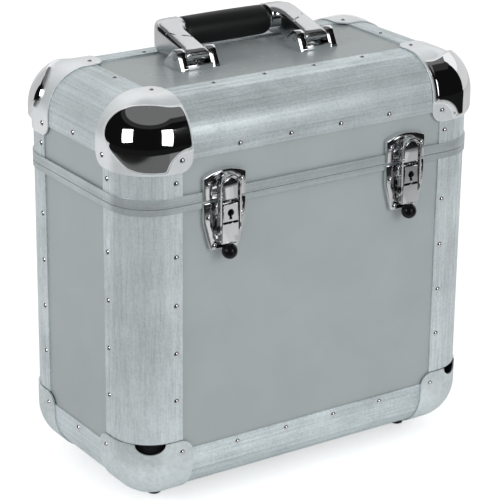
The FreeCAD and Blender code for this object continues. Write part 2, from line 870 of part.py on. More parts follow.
def lever():
    block = front_box(-lever_half, lever_half, lever_back, lever_face, lever_bottom, lever_top)
    corners = [e for e in block.Edges if abs(e.Length - (lever_face - lever_back)) < pick_gap
               and min(v.Point.z for v in e.Vertexes) > lever_groove_height]
    block = block.makeFillet(lever_corner, corners)
    inner = lever_half - lever_wall
    block = block.cut(front_box(-inner, inner, lever_back - over, lever_face - lever_wall,
                                lever_bottom + lever_wall, lever_top - lever_wall))
    groove_low = lever_groove_height - lever_groove / 2
    block = block.cut(front_box(-lever_half - over, lever_half + over, lever_face - lever_groove_deep,
                                lever_face + over, groove_low, groove_low + lever_groove))
    bore = plug_radius + plug_gap
    boss = front_rod(bore + plug_boss_wall, plug_back + cam_gap, lever_face - lever_wall, 0, plug_height)
    boss = boss.cut(front_rod(bore, plug_back - over, lever_face - lever_wall, 0, plug_height))
    stem = rod(stem_radius, V(0, -half_d - stem_depth, lever_bottom + lever_wall),
               V(0, -half_d - stem_depth, lever_bottom - stem_length))
    block = fuse([block, boss, stem])
    block = block.cut(key_shape(lever_face - lever_wall - plug_front_gap, lever_face + over))
    block = block.cut(cross_rod(pin_radius + pin_gap, lever_half + over, pivot_depth, pivot_height))
    return block.cut(cross_rod(pin_radius + pin_gap, lever_half + over, link_depth, link_height))


def lever_pins():
    outer = cheek_inner + cheek_wall
    pivot = [cross_rod(pin_radius, outer + pin_head_rise, pivot_depth, pivot_height)]
    link = [cross_rod(pin_radius, hook_half + pin_head_rise / 2, link_depth, link_height)]
    for s in (1, -1):
        start = V(s * (outer + pin_gap), -half_d - pivot_depth, pivot_height)
        pivot.append(rod(pin_head, start, start + X * s * pin_head_rise))
    return [fuse(pivot), fuse(link)]


def hook():
    centre = hook_top - hook_half

    def arch(half, low):
        return outline((-half, low), [[(-half, centre)], [(0, centre + half), (half, centre)],
                                      [(half, low)], [(-half, low)]])
    band = prism(arch(hook_half, link_height), hook_band_back, hook_front)
    inner = hook_half - hook_wall
    band = band.cut(prism(arch(inner, link_height - over), hook_band_back - over, hook_front + over))
    tabs = []
    for s in (1, -1):
        low_x = min(s * inner, s * hook_half)
        tabs.append(front_box(low_x, low_x + hook_wall, link_depth - hook_tab_radius, hook_front,
                              link_height, link_height + 2 * hook_tab_radius))
        end = V(low_x, -half_d - link_depth, link_height)
        tabs.append(rod(hook_tab_radius, end, end + X * hook_wall))
    tongue_back = hook_tongue_front - hook_tongue_wall
    tongue = prism(arch(hook_tongue_half, hook_tongue_bottom), tongue_back, hook_tongue_front)
    bridge = front_box(-inner, inner, tongue_back, hook_tongue_front, hook_tongue_bottom,
                       hook_tongue_bottom + hook_bridge)
    tip_back = plate_rise + keeper_ridge_deep + hook_tip_gap
    tip = front_box(-hook_tip_half, hook_tip_half, tip_back, tongue_back, hook_tip_height,
                    hook_tip_height + hook_tip_tall)
    solid = fuse([band, tongue, bridge, tip] + tabs)
    return solid.cut(cross_rod(pin_radius + pin_gap, hook_half + over, link_depth, link_height))


def lock_plug():
    front_end = lever_face - lever_wall - plug_front_gap
    plug = front_rod(plug_radius, plug_back, front_end, 0, plug_height)
    cam_low = plug_height - cam_reach
    cam = front_box(-cam_half, cam_half, plug_back - cam_wall, plug_back, cam_low, plug_height)
    disc = front_rod(cam_half, plug_back - cam_wall, plug_back, 0, plug_height)
    return fuse([plug, cam, disc]).cut(key_shape(front_end - key_deep, front_end + over))


def ball_tip():
    centre = V(0, -half_d - tip_depth, tip_height)
    ball = Part.makeSphere(tip_radius, centre)
    low = lever_bottom - stem_length
    bore = rod(stem_radius + rivet_hole_gap, V(0, -half_d - stem_depth, low),
               V(0, -half_d - stem_depth, lever_bottom + over))
    return ball.cut(bore)


keeper_solid = keeper()
base_solid = latch_base()
lever_solid = lever()
pins_solid = lever_pins()
hook_solid = hook()
plug_solid = lock_plug()
tip_solid = ball_tip()
for name, s in (("left", -1), ("right", 1)):
    shift = V(s * latch_x, 0, 0)
    save("keeper_" + name, keeper_solid.translated(shift).cut(keeper_drills))
    save("latch_base_" + name, base_solid.translated(shift).cut(base_drills))
    save("latch_lever_" + name, lever_solid.translated(shift))
    save("lever_pins_" + name, group([pin.translated(shift) for pin in pins_solid]))
    save("latch_hook_" + name, hook_solid.translated(shift))
    save("lock_plug_" + name, plug_solid.translated(shift))
    save("lever_tip_" + name, tip_solid.translated(shift))

# Handle and its brackets, drawn at the origin and moved to the side
pivot_y = handle_pivot_y
pivot_z = top_face + handle_pivot_rise
grip_z = top_face + grip_rise


# Side profiles are drawn in y and z and extruded along x
def side_prism(start, steps, x0, x1):
    face = outline(start, steps)
    solid = face.extrude(V(0, -(x1 - x0), 0))
    return oriented(solid, V(x0, 0, 0), Y, X * -1, Z)


def bracket():
    inner = bracket_half - ear_wall
    plate_top = top_face + bracket_plate
    lip_back = -bracket_front + bracket_plate
    plate = box(-bracket_half, bracket_half, -bracket_front, bracket_back, top_face, plate_top)
    lip = box(-inner, inner, -bracket_front, lip_back, top_face, top_face + window_lip)
    high = top_face + bracket_rise
    r = ear_round
    s = r * (1 - diagonal_share)
    steps = [[(-bracket_front, high - r)], [(-bracket_front + s, high - s), (-bracket_front + r, high)],
             [(0, high)], [(bracket_back, top_face + window_lip)], [(bracket_back, top_face)],
             [(-bracket_front, top_face)]]
    start = (-bracket_front, top_face)
    ears = [side_prism(start, steps, inner, bracket_half), side_prism(start, steps, -bracket_half, -inner)]
    solid = fuse([plate, lip] + ears)
    ends = [V(s * (bracket_half + over), pivot_y, pivot_z) for s in (-1, 1)]
    return solid.cut(rod(handle_pin + handle_pin_gap, ends[0], ends[1]))


def arm():
    half = bracket_half - ear_wall - knuckle_gap
    inner = bracket_x - half
    wide = bracket_x + half
    back = grip_y + grip_deep
    r = arm_outer_round
    s = r * (1 - diagonal_share)
    low = top_face
    k = knuckle_radius
    edges = []
    points = [(inner, pivot_y - k), (wide, pivot_y - k), (wide, back - r)]
    for a, b in zip(points, points[1:]):
        edges.append(Part.LineSegment(V(a[0], a[1], low), V(b[0], b[1], low)).toShape())
    corner = [V(wide, back - r, low), V(wide - s, back - s, low), V(wide - r, back, low)]
    edges.append(Part.Arc(corner[0], corner[1], corner[2]).toShape())
    points = [(wide - r, back), (grip_half, back), (grip_half, grip_y - grip_deep), (inner, arm_inner_y),
              (inner, pivot_y - k)]
    for a, b in zip(points, points[1:]):
        if a != b:
            edges.append(Part.LineSegment(V(a[0], a[1], low), V(b[0], b[1], low)).toShape())
    plan = Part.Face(Part.Wire(edges)).extrude(V(0, 0, grip_rise + 2 * grip_tall))
    turn = grip_y - grip_deep * arm_turn_share
    steps = [[(turn, grip_z + grip_tall)], [(back, grip_z), (turn, grip_z - grip_tall)],
             [(pivot_y, pivot_z - k)], [(pivot_y - k, pivot_z), (pivot_y, pivot_z + k)]]
    side = side_prism((pivot_y, pivot_z + k), steps, 0, wide + over)
    solid = plan.common(side)
    collar_start = V(grip_half - grip_end_wall, grip_y, grip_z)
    collar = rod(collar_radius, collar_start, V(grip_half + over, grip_y, grip_z))
    solid = fuse([solid, collar])
    bore_end = V(wide + over, pivot_y, pivot_z)
    return solid.cut(rod(handle_pin + handle_pin_gap, V(0, pivot_y, pivot_z), bore_end))


def grip():
    half = grip_half - grip_end_wall
    face = Part.Face(Part.Wire([Part.Ellipse(V(0, 0, 0), grip_deep, grip_tall).toShape()]))
    return oriented(face.extrude(V(0, 0, 2 * half)), V(-half, grip_y, grip_z), Y, Z, X)


def bracket_pin(cx):
    return rod(handle_pin, V(cx - bracket_half, pivot_y, pivot_z), V(cx + bracket_half, pivot_y, pivot_z))


bracket_solid = bracket()
brackets = [bracket_solid.translated(V(s * bracket_x, 0, 0)).cut(bracket_drills) for s in (1, -1)]
arm_solid = arm()
save("handle_brackets", group(brackets))
save("handle_pins", group([bracket_pin(s * bracket_x) for s in (1, -1)]))
save("handle_arm_right", arm_solid)
save("handle_arm_left", mirror_x(arm_solid))
save("handle_grip", grip())
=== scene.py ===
import math

import bpy
from mathutils import Matrix, Quaternion, Vector


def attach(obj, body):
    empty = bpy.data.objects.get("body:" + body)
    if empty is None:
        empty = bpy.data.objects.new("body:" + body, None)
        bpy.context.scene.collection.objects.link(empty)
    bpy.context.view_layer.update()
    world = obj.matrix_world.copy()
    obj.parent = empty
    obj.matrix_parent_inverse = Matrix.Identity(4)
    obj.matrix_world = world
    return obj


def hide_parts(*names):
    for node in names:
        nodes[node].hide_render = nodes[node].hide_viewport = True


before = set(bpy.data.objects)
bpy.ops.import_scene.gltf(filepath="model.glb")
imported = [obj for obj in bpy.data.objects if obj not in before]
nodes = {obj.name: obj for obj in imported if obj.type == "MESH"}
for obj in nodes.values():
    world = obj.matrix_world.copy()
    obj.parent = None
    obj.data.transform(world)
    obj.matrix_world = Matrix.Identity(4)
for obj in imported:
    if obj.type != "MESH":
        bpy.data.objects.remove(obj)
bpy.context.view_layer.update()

# Sizes of the case, in metres
HALF_WIDTH = 0.180
HALF_DEPTH = 0.0975
CASE_HEIGHT = 0.354
FOOT_RISE = 0.0113
SHIFT_Y = 0.00425
EDGE_ROUND = 0.038
CAP_REACH = 0.057
LATCH_X = 0.0934

# The front face, in the millimetres that at() takes
FRONT_Y = -97.5


# A point of the case, from the middle of its underside, in millimetres
def at(x, y, z):
    return Vector((x / 1000, y / 1000 + SHIFT_Y, z / 1000 + FOOT_RISE))


# Picking and finishing pieces
def pick(piece):
    bpy.ops.object.select_all(action="DESELECT")
    piece.select_set(True)
    bpy.context.view_layer.objects.active = piece


def settle(name):
    piece = bpy.context.active_object
    piece.name = name
    pick(piece)
    bpy.ops.object.transform_apply(location=True, rotation=True, scale=True)
    return piece


def block(name, low, high):
    bpy.ops.object.select_all(action="DESELECT")
    size = high - low
    bpy.ops.mesh.primitive_cube_add(size=1, location=(low + high) / 2, scale=size)
    return settle(name)


def turned(name, radius, start, end, sides=48, end_radius=None):
    bpy.ops.object.select_all(action="DESELECT")
    line = end - start
    tip = radius if end_radius is None else end_radius
    turn = line.to_track_quat("Z", "Y").to_euler()
    bpy.ops.mesh.primitive_cone_add(vertices=sides, radius1=radius, radius2=tip, depth=line.length,
                                    location=(start + end) / 2, rotation=turn)
    return settle(name)


# Opens a piece for editing, with just the faces picked that pass a test
def pick_faces(piece, test):
    pick(piece)
    bpy.ops.object.mode_set(mode="EDIT")
    bpy.ops.mesh.select_mode(type="FACE")
    bpy.ops.mesh.select_all(action="DESELECT")
    bpy.ops.object.mode_set(mode="OBJECT")
    for face in piece.data.polygons:
        face.select = test(face)
    bpy.ops.object.mode_set(mode="EDIT")


def change(piece, kind, **settings):
    pick(piece)
    modifier = piece.modifiers.new(kind.title(), kind)
    for key, value in settings.items():
        setattr(modifier, key, value)
    bpy.ops.object.modifier_apply(modifier=modifier.name)
    return piece


def bevel(piece, width, segments=3, angle=30):
    return change(piece, "BEVEL", width=width, segments=segments, limit_method="ANGLE",
                  angle_limit=math.radians(angle), harden_normals=False)


def carve(piece, *tools):
    for tool in tools:
        change(piece, "BOOLEAN", operation="DIFFERENCE", object=tool, solver="EXACT")
        bpy.data.objects.remove(tool)
    return piece


def joined(name, pieces):
    bpy.ops.object.select_all(action="DESELECT")
    for piece in pieces:
        piece.select_set(True)
    bpy.context.view_layer.objects.active = pieces[0]
    bpy.ops.object.join()
    pieces[0].name = name
    return pieces[0]


def smooth(piece, angle=35):
    pick(piece)
    bpy.ops.object.shade_smooth_by_angle(angle=math.radians(angle))
    return piece


def copy_of(piece, name):
    twin = piece.copy()
    twin.data = piece.data.copy()
    twin.name = name
    bpy.context.collection.objects.link(twin)
    return twin


def flip_faces(piece):
    pick(piece)
    bpy.ops.object.mode_set(mode="EDIT")
    bpy.ops.mesh.select_all(action="SELECT")
    bpy.ops.mesh.flip_normals()
    bpy.ops.object.mode_set(mode="OBJECT")


# A mirrored copy across the case's middle, with its faces turned out again
def mirrored(piece, name, across_x, across_y):
    twin = copy_of(piece, name)
    flip = Matrix.Diagonal((-1 if across_x else 1, -1 if across_y else 1, 1, 1))
    middle = Matrix.Translation((0, SHIFT_Y, 0))
    twin.data.transform(middle @ flip @ middle.inverted())
    if across_x != across_y:
        flip_faces(twin)
    return twin


def moved(piece, name, shift):
    twin = copy_of(piece, name)
    twin.data.transform(Matrix.Translation(shift))
    return twin


# A closed plate: the corners in order, pulled straight to its other side
def plate(name, corners, pull):
    bpy.ops.object.select_all(action="DESELECT")
    bpy.ops.mesh.primitive_circle_add(vertices=len(corners), radius=1, fill_type="NGON")
    piece = bpy.context.active_object
    piece.name = name
    for vertex, place in zip(piece.data.vertices, corners):
        vertex.co = place
    bpy.ops.object.mode_set(mode="EDIT")
    bpy.ops.mesh.select_all(action="SELECT")
    bpy.ops.mesh.extrude_region_move(TRANSFORM_OT_translate={"value": pull})
    bpy.ops.mesh.select_all(action="SELECT")
    bpy.ops.mesh.normals_make_consistent(inside=False)
    bpy.ops.object.mode_set(mode="OBJECT")
    return piece


# Plates drawn on the front, from the side and from above, in millimetres
def pressed(name, outline, near, far):
    return plate(name, [at(x, FRONT_Y - far, z) for x, z in outline], (0, (far - near) / 1000, 0))


def side_plate(name, outline, x0, x1):
    return plate(name, [at(x0, y, z) for y, z in outline], ((x1 - x0) / 1000, 0, 0))


def plan_plate(name, outline, z0, z1):
    return plate(name, [at(x, y, z0) for x, y in outline], (0, 0, (z1 - z0) / 1000))


# A closed tube, each of whose points is placed by its step along and its angle round
def tube(name, around, steps, place):
    bpy.ops.object.select_all(action="DESELECT")
    bpy.ops.mesh.primitive_cylinder_add(vertices=around, radius=1, depth=steps,
                                        location=(0, 0, steps / 2))
    piece = settle(name)
    bpy.ops.object.mode_set(mode="EDIT")
    bpy.ops.mesh.select_mode(type="EDGE")
    bpy.ops.mesh.select_all(action="DESELECT")
    bpy.ops.object.mode_set(mode="OBJECT")
    points = piece.data.vertices
    for edge in piece.data.edges:
        edge.select = abs(points[edge.vertices[0]].co.z - points[edge.vertices[1]].co.z) > 0.5
    bpy.ops.object.mode_set(mode="EDIT")
    bpy.ops.mesh.subdivide(number_cuts=steps - 1)
    bpy.ops.object.mode_set(mode="OBJECT")
    for vertex in piece.data.vertices:
        vertex.co = place(round(vertex.co.z), math.atan2(vertex.co.y, vertex.co.x))
    bpy.ops.object.mode_set(mode="EDIT")
    bpy.ops.mesh.select_all(action="SELECT")
    bpy.ops.mesh.normals_make_consistent(inside=False)
    bpy.ops.object.mode_set(mode="OBJECT")
    return piece


# Points along an arc, in degrees
def arc(cx, cy, radius, start, end, steps):
    points = []
    for i in range(steps + 1):
        a = math.radians(start + (end - start) * i / steps)
        points.append((cx + radius * math.cos(a), cy + radius * math.sin(a)))
    return points


# Shared effects
def effect(name, inputs, outputs):
    tree = bpy.data.node_groups.new(name, "ShaderNodeTree")
    for label, kind, default in inputs:
        socket = tree.interface.new_socket(name=label, in_out="INPUT", socket_type=kind)
        if default is not None:
            socket.default_value = default
    for label, kind in outputs:
        tree.interface.new_socket(name=label, in_out="OUTPUT", socket_type=kind)
    return tree, tree.nodes.new("NodeGroupInput"), tree.nodes.new("NodeGroupOutput")


def noise(tree, vector, scale, detail, rough=0.5):
    node = tree.nodes.new("ShaderNodeTexNoise")
    node.inputs["Scale"].default_value = scale
    node.inputs["Detail"].default_value = detail
    node.inputs["Roughness"].default_value = rough
    tree.links.new(vector, node.inputs["Vector"])
    return node.outputs["Fac"]


def spread(tree, value, low, high, to_low=0.0, to_high=1.0):
    node = tree.nodes.new("ShaderNodeMapRange")
    node.inputs["From Min"].default_value = low
    node.inputs["From Max"].default_value = high
    node.inputs["To Min"].default_value = to_low
    node.inputs["To Max"].default_value = to_high
    tree.links.new(value, node.inputs["Value"])
    return node.outputs["Result"]


def maths(tree, kind, a, b):
    node = tree.nodes.new("ShaderNodeMath")
    node.operation = kind
    for socket, value in zip(node.inputs, (a, b)):
        if isinstance(value, (int, float)):
            socket.default_value = value
        else:
            tree.links.new(value, socket)
    return node.outputs["Value"]


# The part of a noise's range that holds nearly all of its values
NOISE_LOW = 0.3
NOISE_HIGH = 0.7

# Scales of the effects, in waves per metre
LINE_SCALE = 1400
BAND_SCALE = 330
SMUDGE_SCALE = 26
SCUFF_STRETCH = (30, 900, 260)
SCUFF_TURN = (0.5, 0.9, 0.4)
SCUFF_LOW = 0.68
SCUFF_HIGH = 0.78


# Brush lines: the stretch is small along the lines and large across them
def make_brush_lines():
    inputs = [("Vector", "NodeSocketVector", None), ("Stretch", "NodeSocketVector", (1, 1, 1))]
    outputs = [("Lines", "NodeSocketFloat"), ("Bands", "NodeSocketFloat")]
    tree, inside, out = effect("brush_lines", inputs, outputs)
    stretch = tree.nodes.new("ShaderNodeVectorMath")
    stretch.operation = "MULTIPLY"
    tree.links.new(inside.outputs["Vector"], stretch.inputs[0])
    tree.links.new(inside.outputs["Stretch"], stretch.inputs[1])
    fine = noise(tree, stretch.outputs["Vector"], LINE_SCALE, 4, 0.6)
    coarse = noise(tree, stretch.outputs["Vector"], BAND_SCALE, 3, 0.6)
    tree.links.new(spread(tree, fine, NOISE_LOW, NOISE_HIGH), out.inputs["Lines"])
    tree.links.new(spread(tree, coarse, NOISE_LOW, NOISE_HIGH), out.inputs["Bands"])
    return tree


# Handling marks: soft smudges and short scuffs
def make_handling_marks():
    inputs = [("Vector", "NodeSocketVector", None)]
    outputs = [("Smudges", "NodeSocketFloat"), ("Scuffs", "NodeSocketFloat")]
    tree, inside, out = effect("handling_marks", inputs, outputs)
    smudges = noise(tree, inside.outputs["Vector"], SMUDGE_SCALE, 4, 0.55)
    turn = tree.nodes.new("ShaderNodeMapping")
    turn.inputs["Rotation"].default_value = SCUFF_TURN
    turn.inputs["Scale"].default_value = SCUFF_STRETCH
    tree.links.new(inside.outputs["Vector"], turn.inputs["Vector"])
    scuffs = noise(tree, turn.outputs["Vector"], 1, 2, 0.5)
    tree.links.new(spread(tree, smudges, NOISE_LOW, NOISE_HIGH), out.inputs["Smudges"])
    tree.links.new(spread(tree, scuffs, SCUFF_LOW, SCUFF_HIGH), out.inputs["Scuffs"])
    return tree


# Grain of moulded plastic, rubber and laminate
def make_fine_grain():
    inputs = [("Vector", "NodeSocketVector", None), ("Scale", "NodeSocketFloat", 2000.0)]
    outputs = [("Grain", "NodeSocketFloat"), ("Speckle", "NodeSocketFloat")]
    tree, inside, out = effect("fine_grain", inputs, outputs)
    grain = tree.nodes.new("ShaderNodeTexVoronoi")
    grain.feature = "SMOOTH_F1"
    tree.links.new(inside.outputs["Vector"], grain.inputs["Vector"])
    tree.links.new(inside.outputs["Scale"], grain.inputs["Scale"])
    speckle = tree.nodes.new("ShaderNodeTexNoise")
    speckle.inputs["Detail"].default_value = 3
    tree.links.new(inside.outputs["Vector"], speckle.inputs["Vector"])
    tree.links.new(inside.outputs["Scale"], speckle.inputs["Scale"])
    tree.links.new(spread(tree, grain.outputs["Distance"], 0.0, 0.8), out.inputs["Grain"])
    tree.links.new(spread(tree, speckle.outputs["Fac"], NOISE_LOW, NOISE_HIGH), out.inputs["Speckle"])
    return tree


brush_lines = make_brush_lines()
handling_marks = make_handling_marks()
fine_grain = make_fine_grain()


# Building blocks of a finish
def finish(name, roughness, metallic):
    material = bpy.data.materials.new(name)
    material.use_nodes = True
    tree = material.node_tree
    shader = tree.nodes["Principled BSDF"]
    shader.inputs["Roughness"].default_value = roughness
    shader.inputs["Metallic"].default_value = metallic
    coordinates = tree.nodes.new("ShaderNodeTexCoord")
    return material, tree, shader, coordinates.outputs["Object"]


def use(tree, group, vector, **values):
    node = tree.nodes.new("ShaderNodeGroup")
    node.node_tree = group
    tree.links.new(vector, node.inputs["Vector"])
    for label, value in values.items():
        node.inputs[label].default_value = value
    return node.outputs


# The mix node's sockets for colours, by their number
MIX_FIRST = 6
MIX_SECOND = 7
MIX_RESULT = 2


def blended(tree, amount, first, second):
    node = tree.nodes.new("ShaderNodeMix")
    node.data_type = "RGBA"
    for socket, value in zip((node.inputs[MIX_FIRST], node.inputs[MIX_SECOND]), (first, second)):
        if isinstance(value, tuple):
            socket.default_value = (*value, 1)
        else:
            tree.links.new(value, socket)
    tree.links.new(amount, node.inputs[0])
    return node.outputs[MIX_RESULT]


# A sum of values, each with its own weight
def weighed(tree, *parts):
    total = None
    for value, weight in parts:
        share = maths(tree, "MULTIPLY", value, weight)
        total = share if total is None else maths(tree, "ADD", total, share)
    return total


def bump(tree, shader, height, strength, distance):
    node = tree.nodes.new("ShaderNodeBump")
    node.inputs["Strength"].default_value = strength
    node.inputs["Distance"].default_value = distance
    tree.links.new(height, node.inputs["Height"])
    tree.links.new(node.outputs["Normal"], shader.inputs["Normal"])


# Where a brushed tone starts and ends, and the near black painted as shade on what a notch shows behind it
TONE_LOW = 0.22
TONE_HIGH = 0.78
NOTCH_PAINTED_SHADE = (0.03, 0.031, 0.033)


# Brushed metal, with its lines along one axis or around two. smooth_light and rough_dark are
# the roughness of its lightest and its darkest tone
def brushed(name, along, dark, light, smooth_light, rough_dark, metal, stretched=0.012, painted_shade_below=None):
    material, tree, shader, place = finish(name, smooth_light, metal)
    stretch = [1.0, 1.0, 1.0]
    for axis in along:
        stretch["xyz".index(axis)] = stretched
    lines = use(tree, brush_lines, place, Stretch=stretch)
    marks = use(tree, handling_marks, place)
    mottle = use(tree, fine_grain, place, Scale=420.0)
    tone = weighed(tree, (lines["Lines"], 0.25), (lines["Bands"], 0.3), (marks["Smudges"], 0.25),
                   (mottle["Speckle"], 0.2))
    tone = spread(tree, tone, TONE_LOW, TONE_HIGH)
    colour = blended(tree, tone, dark, light)
    # Below the given height the colour is painted near black: painted shade where the upright runs on behind
    # a cap's notch
    if painted_shade_below is not None:
        split = tree.nodes.new("ShaderNodeSeparateXYZ")
        tree.links.new(place, split.inputs["Vector"])
        painted_shade_mask = maths(tree, "LESS_THAN", split.outputs["Z"], painted_shade_below)
        colour = blended(tree, painted_shade_mask, colour, NOTCH_PAINTED_SHADE)
    tree.links.new(colour, shader.inputs["Base Color"])
    rough = spread(tree, tone, 0.0, 1.0, rough_dark, smooth_light)
    tree.links.new(rough, shader.inputs["Roughness"])
    height = maths(tree, "ADD", lines["Lines"], lines["Bands"])
    bump(tree, shader, height, strength=0.35, distance=0.00004)
    return material


# Plated or cast metal, with smudges and a fine ripple
def plated(name, colour, dull, roughness, dull_roughness, ripple=0.02, metal=1.0, mottled=0.0):
    material, tree, shader, place = finish(name, roughness, metal)
    marks = use(tree, handling_marks, place)
    grain = use(tree, fine_grain, place, Scale=260.0)
    amount = weighed(tree, (marks["Smudges"], 0.4), (marks["Scuffs"], 0.4), (grain["Speckle"], mottled))
    tree.links.new(blended(tree, amount, colour, dull), shader.inputs["Base Color"])
    tree.links.new(spread(tree, amount, 0.0, 1.0, roughness, dull_roughness), shader.inputs["Roughness"])
    bump(tree, shader, grain["Speckle"], strength=ripple, distance=0.0004)
    return material


# How far up the dome's edge the satin ends and the polish is full
SATIN_END = 0.1
POLISH_START = 0.6
SATIN_LIGHT = (0.93, 0.96, 0.97)
SATIN_DULL = (0.82, 0.86, 0.88)
POLISHED = (0.84, 0.85, 0.86)


# Corner metal: mirror bright on the dome and satin on the flange round it
def make_corner_metal():
    material, tree, shader, place = finish("corner_chrome", 0.05, 1.0)
    attribute = tree.nodes.new("ShaderNodeAttribute")
    attribute.attribute_name = "polish"
    polish = attribute.outputs["Fac"]
    marks = use(tree, handling_marks, place)
    grain = use(tree, fine_grain, place, Scale=500.0)
    satin = blended(tree, marks["Smudges"], SATIN_LIGHT, SATIN_DULL)
    tree.links.new(blended(tree, polish, satin, POLISHED), shader.inputs["Base Color"])
    metal = spread(tree, polish, SATIN_END, POLISH_START, 0.5, 1.0)
    tree.links.new(metal, shader.inputs["Metallic"])
    haze = maths(tree, "MULTIPLY", marks["Smudges"], 0.03)
    rough = spread(tree, polish, SATIN_END, POLISH_START, 0.34, 0.03)
    tree.links.new(maths(tree, "ADD", rough, haze), shader.inputs["Roughness"])
    dull = maths(tree, "SUBTRACT", 1.0, polish)
    height = maths(tree, "MULTIPLY", grain["Speckle"], dull)
    bump(tree, shader, height, strength=0.12, distance=0.0002)
    return material


# Colours of the panels: the outer face, clean, worn and specked, and the lining
PANEL_GREY = (0.365, 0.405, 0.412)
PANEL_WORN = (0.395, 0.437, 0.445)
PANEL_SPECK = (0.34, 0.375, 0.38)
LINING_DARK = (0.03, 0.031, 0.034)
LINING_LIGHT = (0.065, 0.067, 0.072)


# Panels: grey laminate outside, and a dark fibre lining on the faces that look into the case
def make_panel(name, axis, middle, reach, roughness):
    material, tree, shader, place = finish(name, roughness, 0.0)
    split = tree.nodes.new("ShaderNodeSeparateXYZ")
    tree.links.new(place, split.inputs["Vector"])
    out_by = maths(tree, "ABSOLUTE", maths(tree, "SUBTRACT", split.outputs[axis], middle), 0.0)
    lining = maths(tree, "LESS_THAN", out_by, reach)
    marks = use(tree, handling_marks, place)
    grain = use(tree, fine_grain, place, Scale=2600.0)
    fibre = use(tree, fine_grain, place, Scale=900.0)
    face = blended(tree, marks["Smudges"], PANEL_GREY, PANEL_WORN)
    face = blended(tree, maths(tree, "MULTIPLY", grain["Speckle"], 0.25), face, PANEL_SPECK)
    felt = blended(tree, fibre["Speckle"], LINING_DARK, LINING_LIGHT)
    tree.links.new(blended(tree, lining, face, felt), shader.inputs["Base Color"])
    rough = spread(tree, marks["Smudges"], 0.0, 1.0, roughness, roughness + 0.08)
    rough = maths(tree, "MAXIMUM", rough, maths(tree, "MULTIPLY", lining, 0.9))
    tree.links.new(rough, shader.inputs["Roughness"])
    height = maths(tree, "ADD", maths(tree, "MULTIPLY", grain["Grain"], 0.15),
                   maths(tree, "MULTIPLY", maths(tree, "MULTIPLY", fibre["Speckle"], lining), 2.0))
    bump(tree, shader, height, strength=0.25, distance=0.0001)
    return material


# Black moulded parts: grain, faint scuffs and a sheen that differs from part to part
def moulded(name, colour, worn, roughness, scale, deep, shine=0.5):
    material, tree, shader, place = finish(name, roughness, 0.0)
    marks = use(tree, handling_marks, place)
    grain = use(tree, fine_grain, place, Scale=scale)
    amount = weighed(tree, (marks["Scuffs"], 0.5), (marks["Smudges"], 0.3))
    tree.links.new(blended(tree, amount, colour, worn), shader.inputs["Base Color"])
    tree.links.new(spread(tree, amount, 0.0, 1.0, roughness, roughness + 0.15), shader.inputs["Roughness"])
    shader.inputs["Specular IOR Level"].default_value = shine
    bump(tree, shader, grain["Grain"], strength=0.3, distance=deep)
    return material


# Colours of the foam
CELL_DARK = (0.018, 0.018, 0.02)
CELL_LIGHT = (0.07, 0.071, 0.075)
CLUMP = (0.035, 0.035, 0.038)


# Foam: open cells over a dark body
def make_foam():
    material, tree, shader, place = finish("foam_grey", 0.95, 0.0)
    cells = use(tree, fine_grain, place, Scale=1100.0)
    clumps = use(tree, fine_grain, place, Scale=240.0)
    colour = blended(tree, cells["Grain"], CELL_DARK, CELL_LIGHT)
    colour = blended(tree, maths(tree, "MULTIPLY", clumps["Speckle"], 0.3), colour, CLUMP)
    tree.links.new(colour, shader.inputs["Base Color"])
    height = maths(tree, "ADD", cells["Grain"], maths(tree, "MULTIPLY", clumps["Speckle"], 0.6))
    bump(tree, shader, height, strength=0.8, distance=0.0005)
    return material


# The uprights run on behind the caps' notches, where no light reaches them, so below this height their
# colour is painted near black as shade
CAP_TOP = at(0, 0, 57.2).z

# The middle of the height, from which a board's lining is told from its outer face
CASE_MIDDLE = at(0, 0, 177).z

edge_x = brushed("edge_aluminium_long", "x", dark=(0.46, 0.52, 0.54), light=(0.86, 0.95, 0.98),
                 smooth_light=0.34, rough_dark=0.48, metal=0.60)
edge_y = brushed("edge_aluminium_end", "y", dark=(0.52, 0.58, 0.60), light=(0.80, 0.88, 0.91),
                 smooth_light=0.42, rough_dark=0.54, metal=0.42)
# The uprights get painted shade below CAP_TOP, behind the caps' notches
edge_z = brushed("edge_aluminium_upright", "z", dark=(0.57, 0.63, 0.65), light=(0.88, 0.96, 0.99),
                 smooth_light=0.42, rough_dark=0.54, metal=0.58, stretched=0.06, painted_shade_below=CAP_TOP)
rim_metal = brushed("rim_aluminium", "xy", dark=(0.44, 0.485, 0.50), light=(0.60, 0.66, 0.68),
                    smooth_light=0.30, rough_dark=0.42, metal=0.55)
cap_metal = plated("cap_aluminium_satin", colour=(0.88, 0.96, 0.98), dull=(0.56, 0.61, 0.63),
                   roughness=0.34, dull_roughness=0.48, ripple=0.25, metal=0.75, mottled=0.35)
corner_metal = make_corner_metal()
fitting_metal = plated("fitting_chrome", colour=(0.86, 0.87, 0.88), dull=(0.70, 0.71, 0.72),
                       roughness=0.07, dull_roughness=0.22)
arm_metal = plated("arm_chrome", colour=(0.68, 0.69, 0.70), dull=(0.58, 0.59, 0.60),
                   roughness=0.14, dull_roughness=0.30, ripple=0.06)
rivet_metal = plated("rivet_steel", colour=(0.80, 0.81, 0.82), dull=(0.58, 0.59, 0.60),
                     roughness=0.10, dull_roughness=0.26)
hinge_metal = plated("hinge_steel", colour=(0.68, 0.69, 0.69), dull=(0.52, 0.52, 0.52),
                     roughness=0.24, dull_roughness=0.42, ripple=0.1)
panel_sides = make_panel("panel_sides", "Y", middle=SHIFT_Y, reach=0.0945, roughness=0.34)
panel_ends = make_panel("panel_ends", "X", middle=0.0, reach=0.177, roughness=0.34)
panel_base = make_panel("panel_base", "Z", middle=CASE_MIDDLE, reach=0.174, roughness=0.4)
panel_top = make_panel("panel_top", "Z", middle=CASE_MIDDLE, reach=0.174, roughness=0.22)
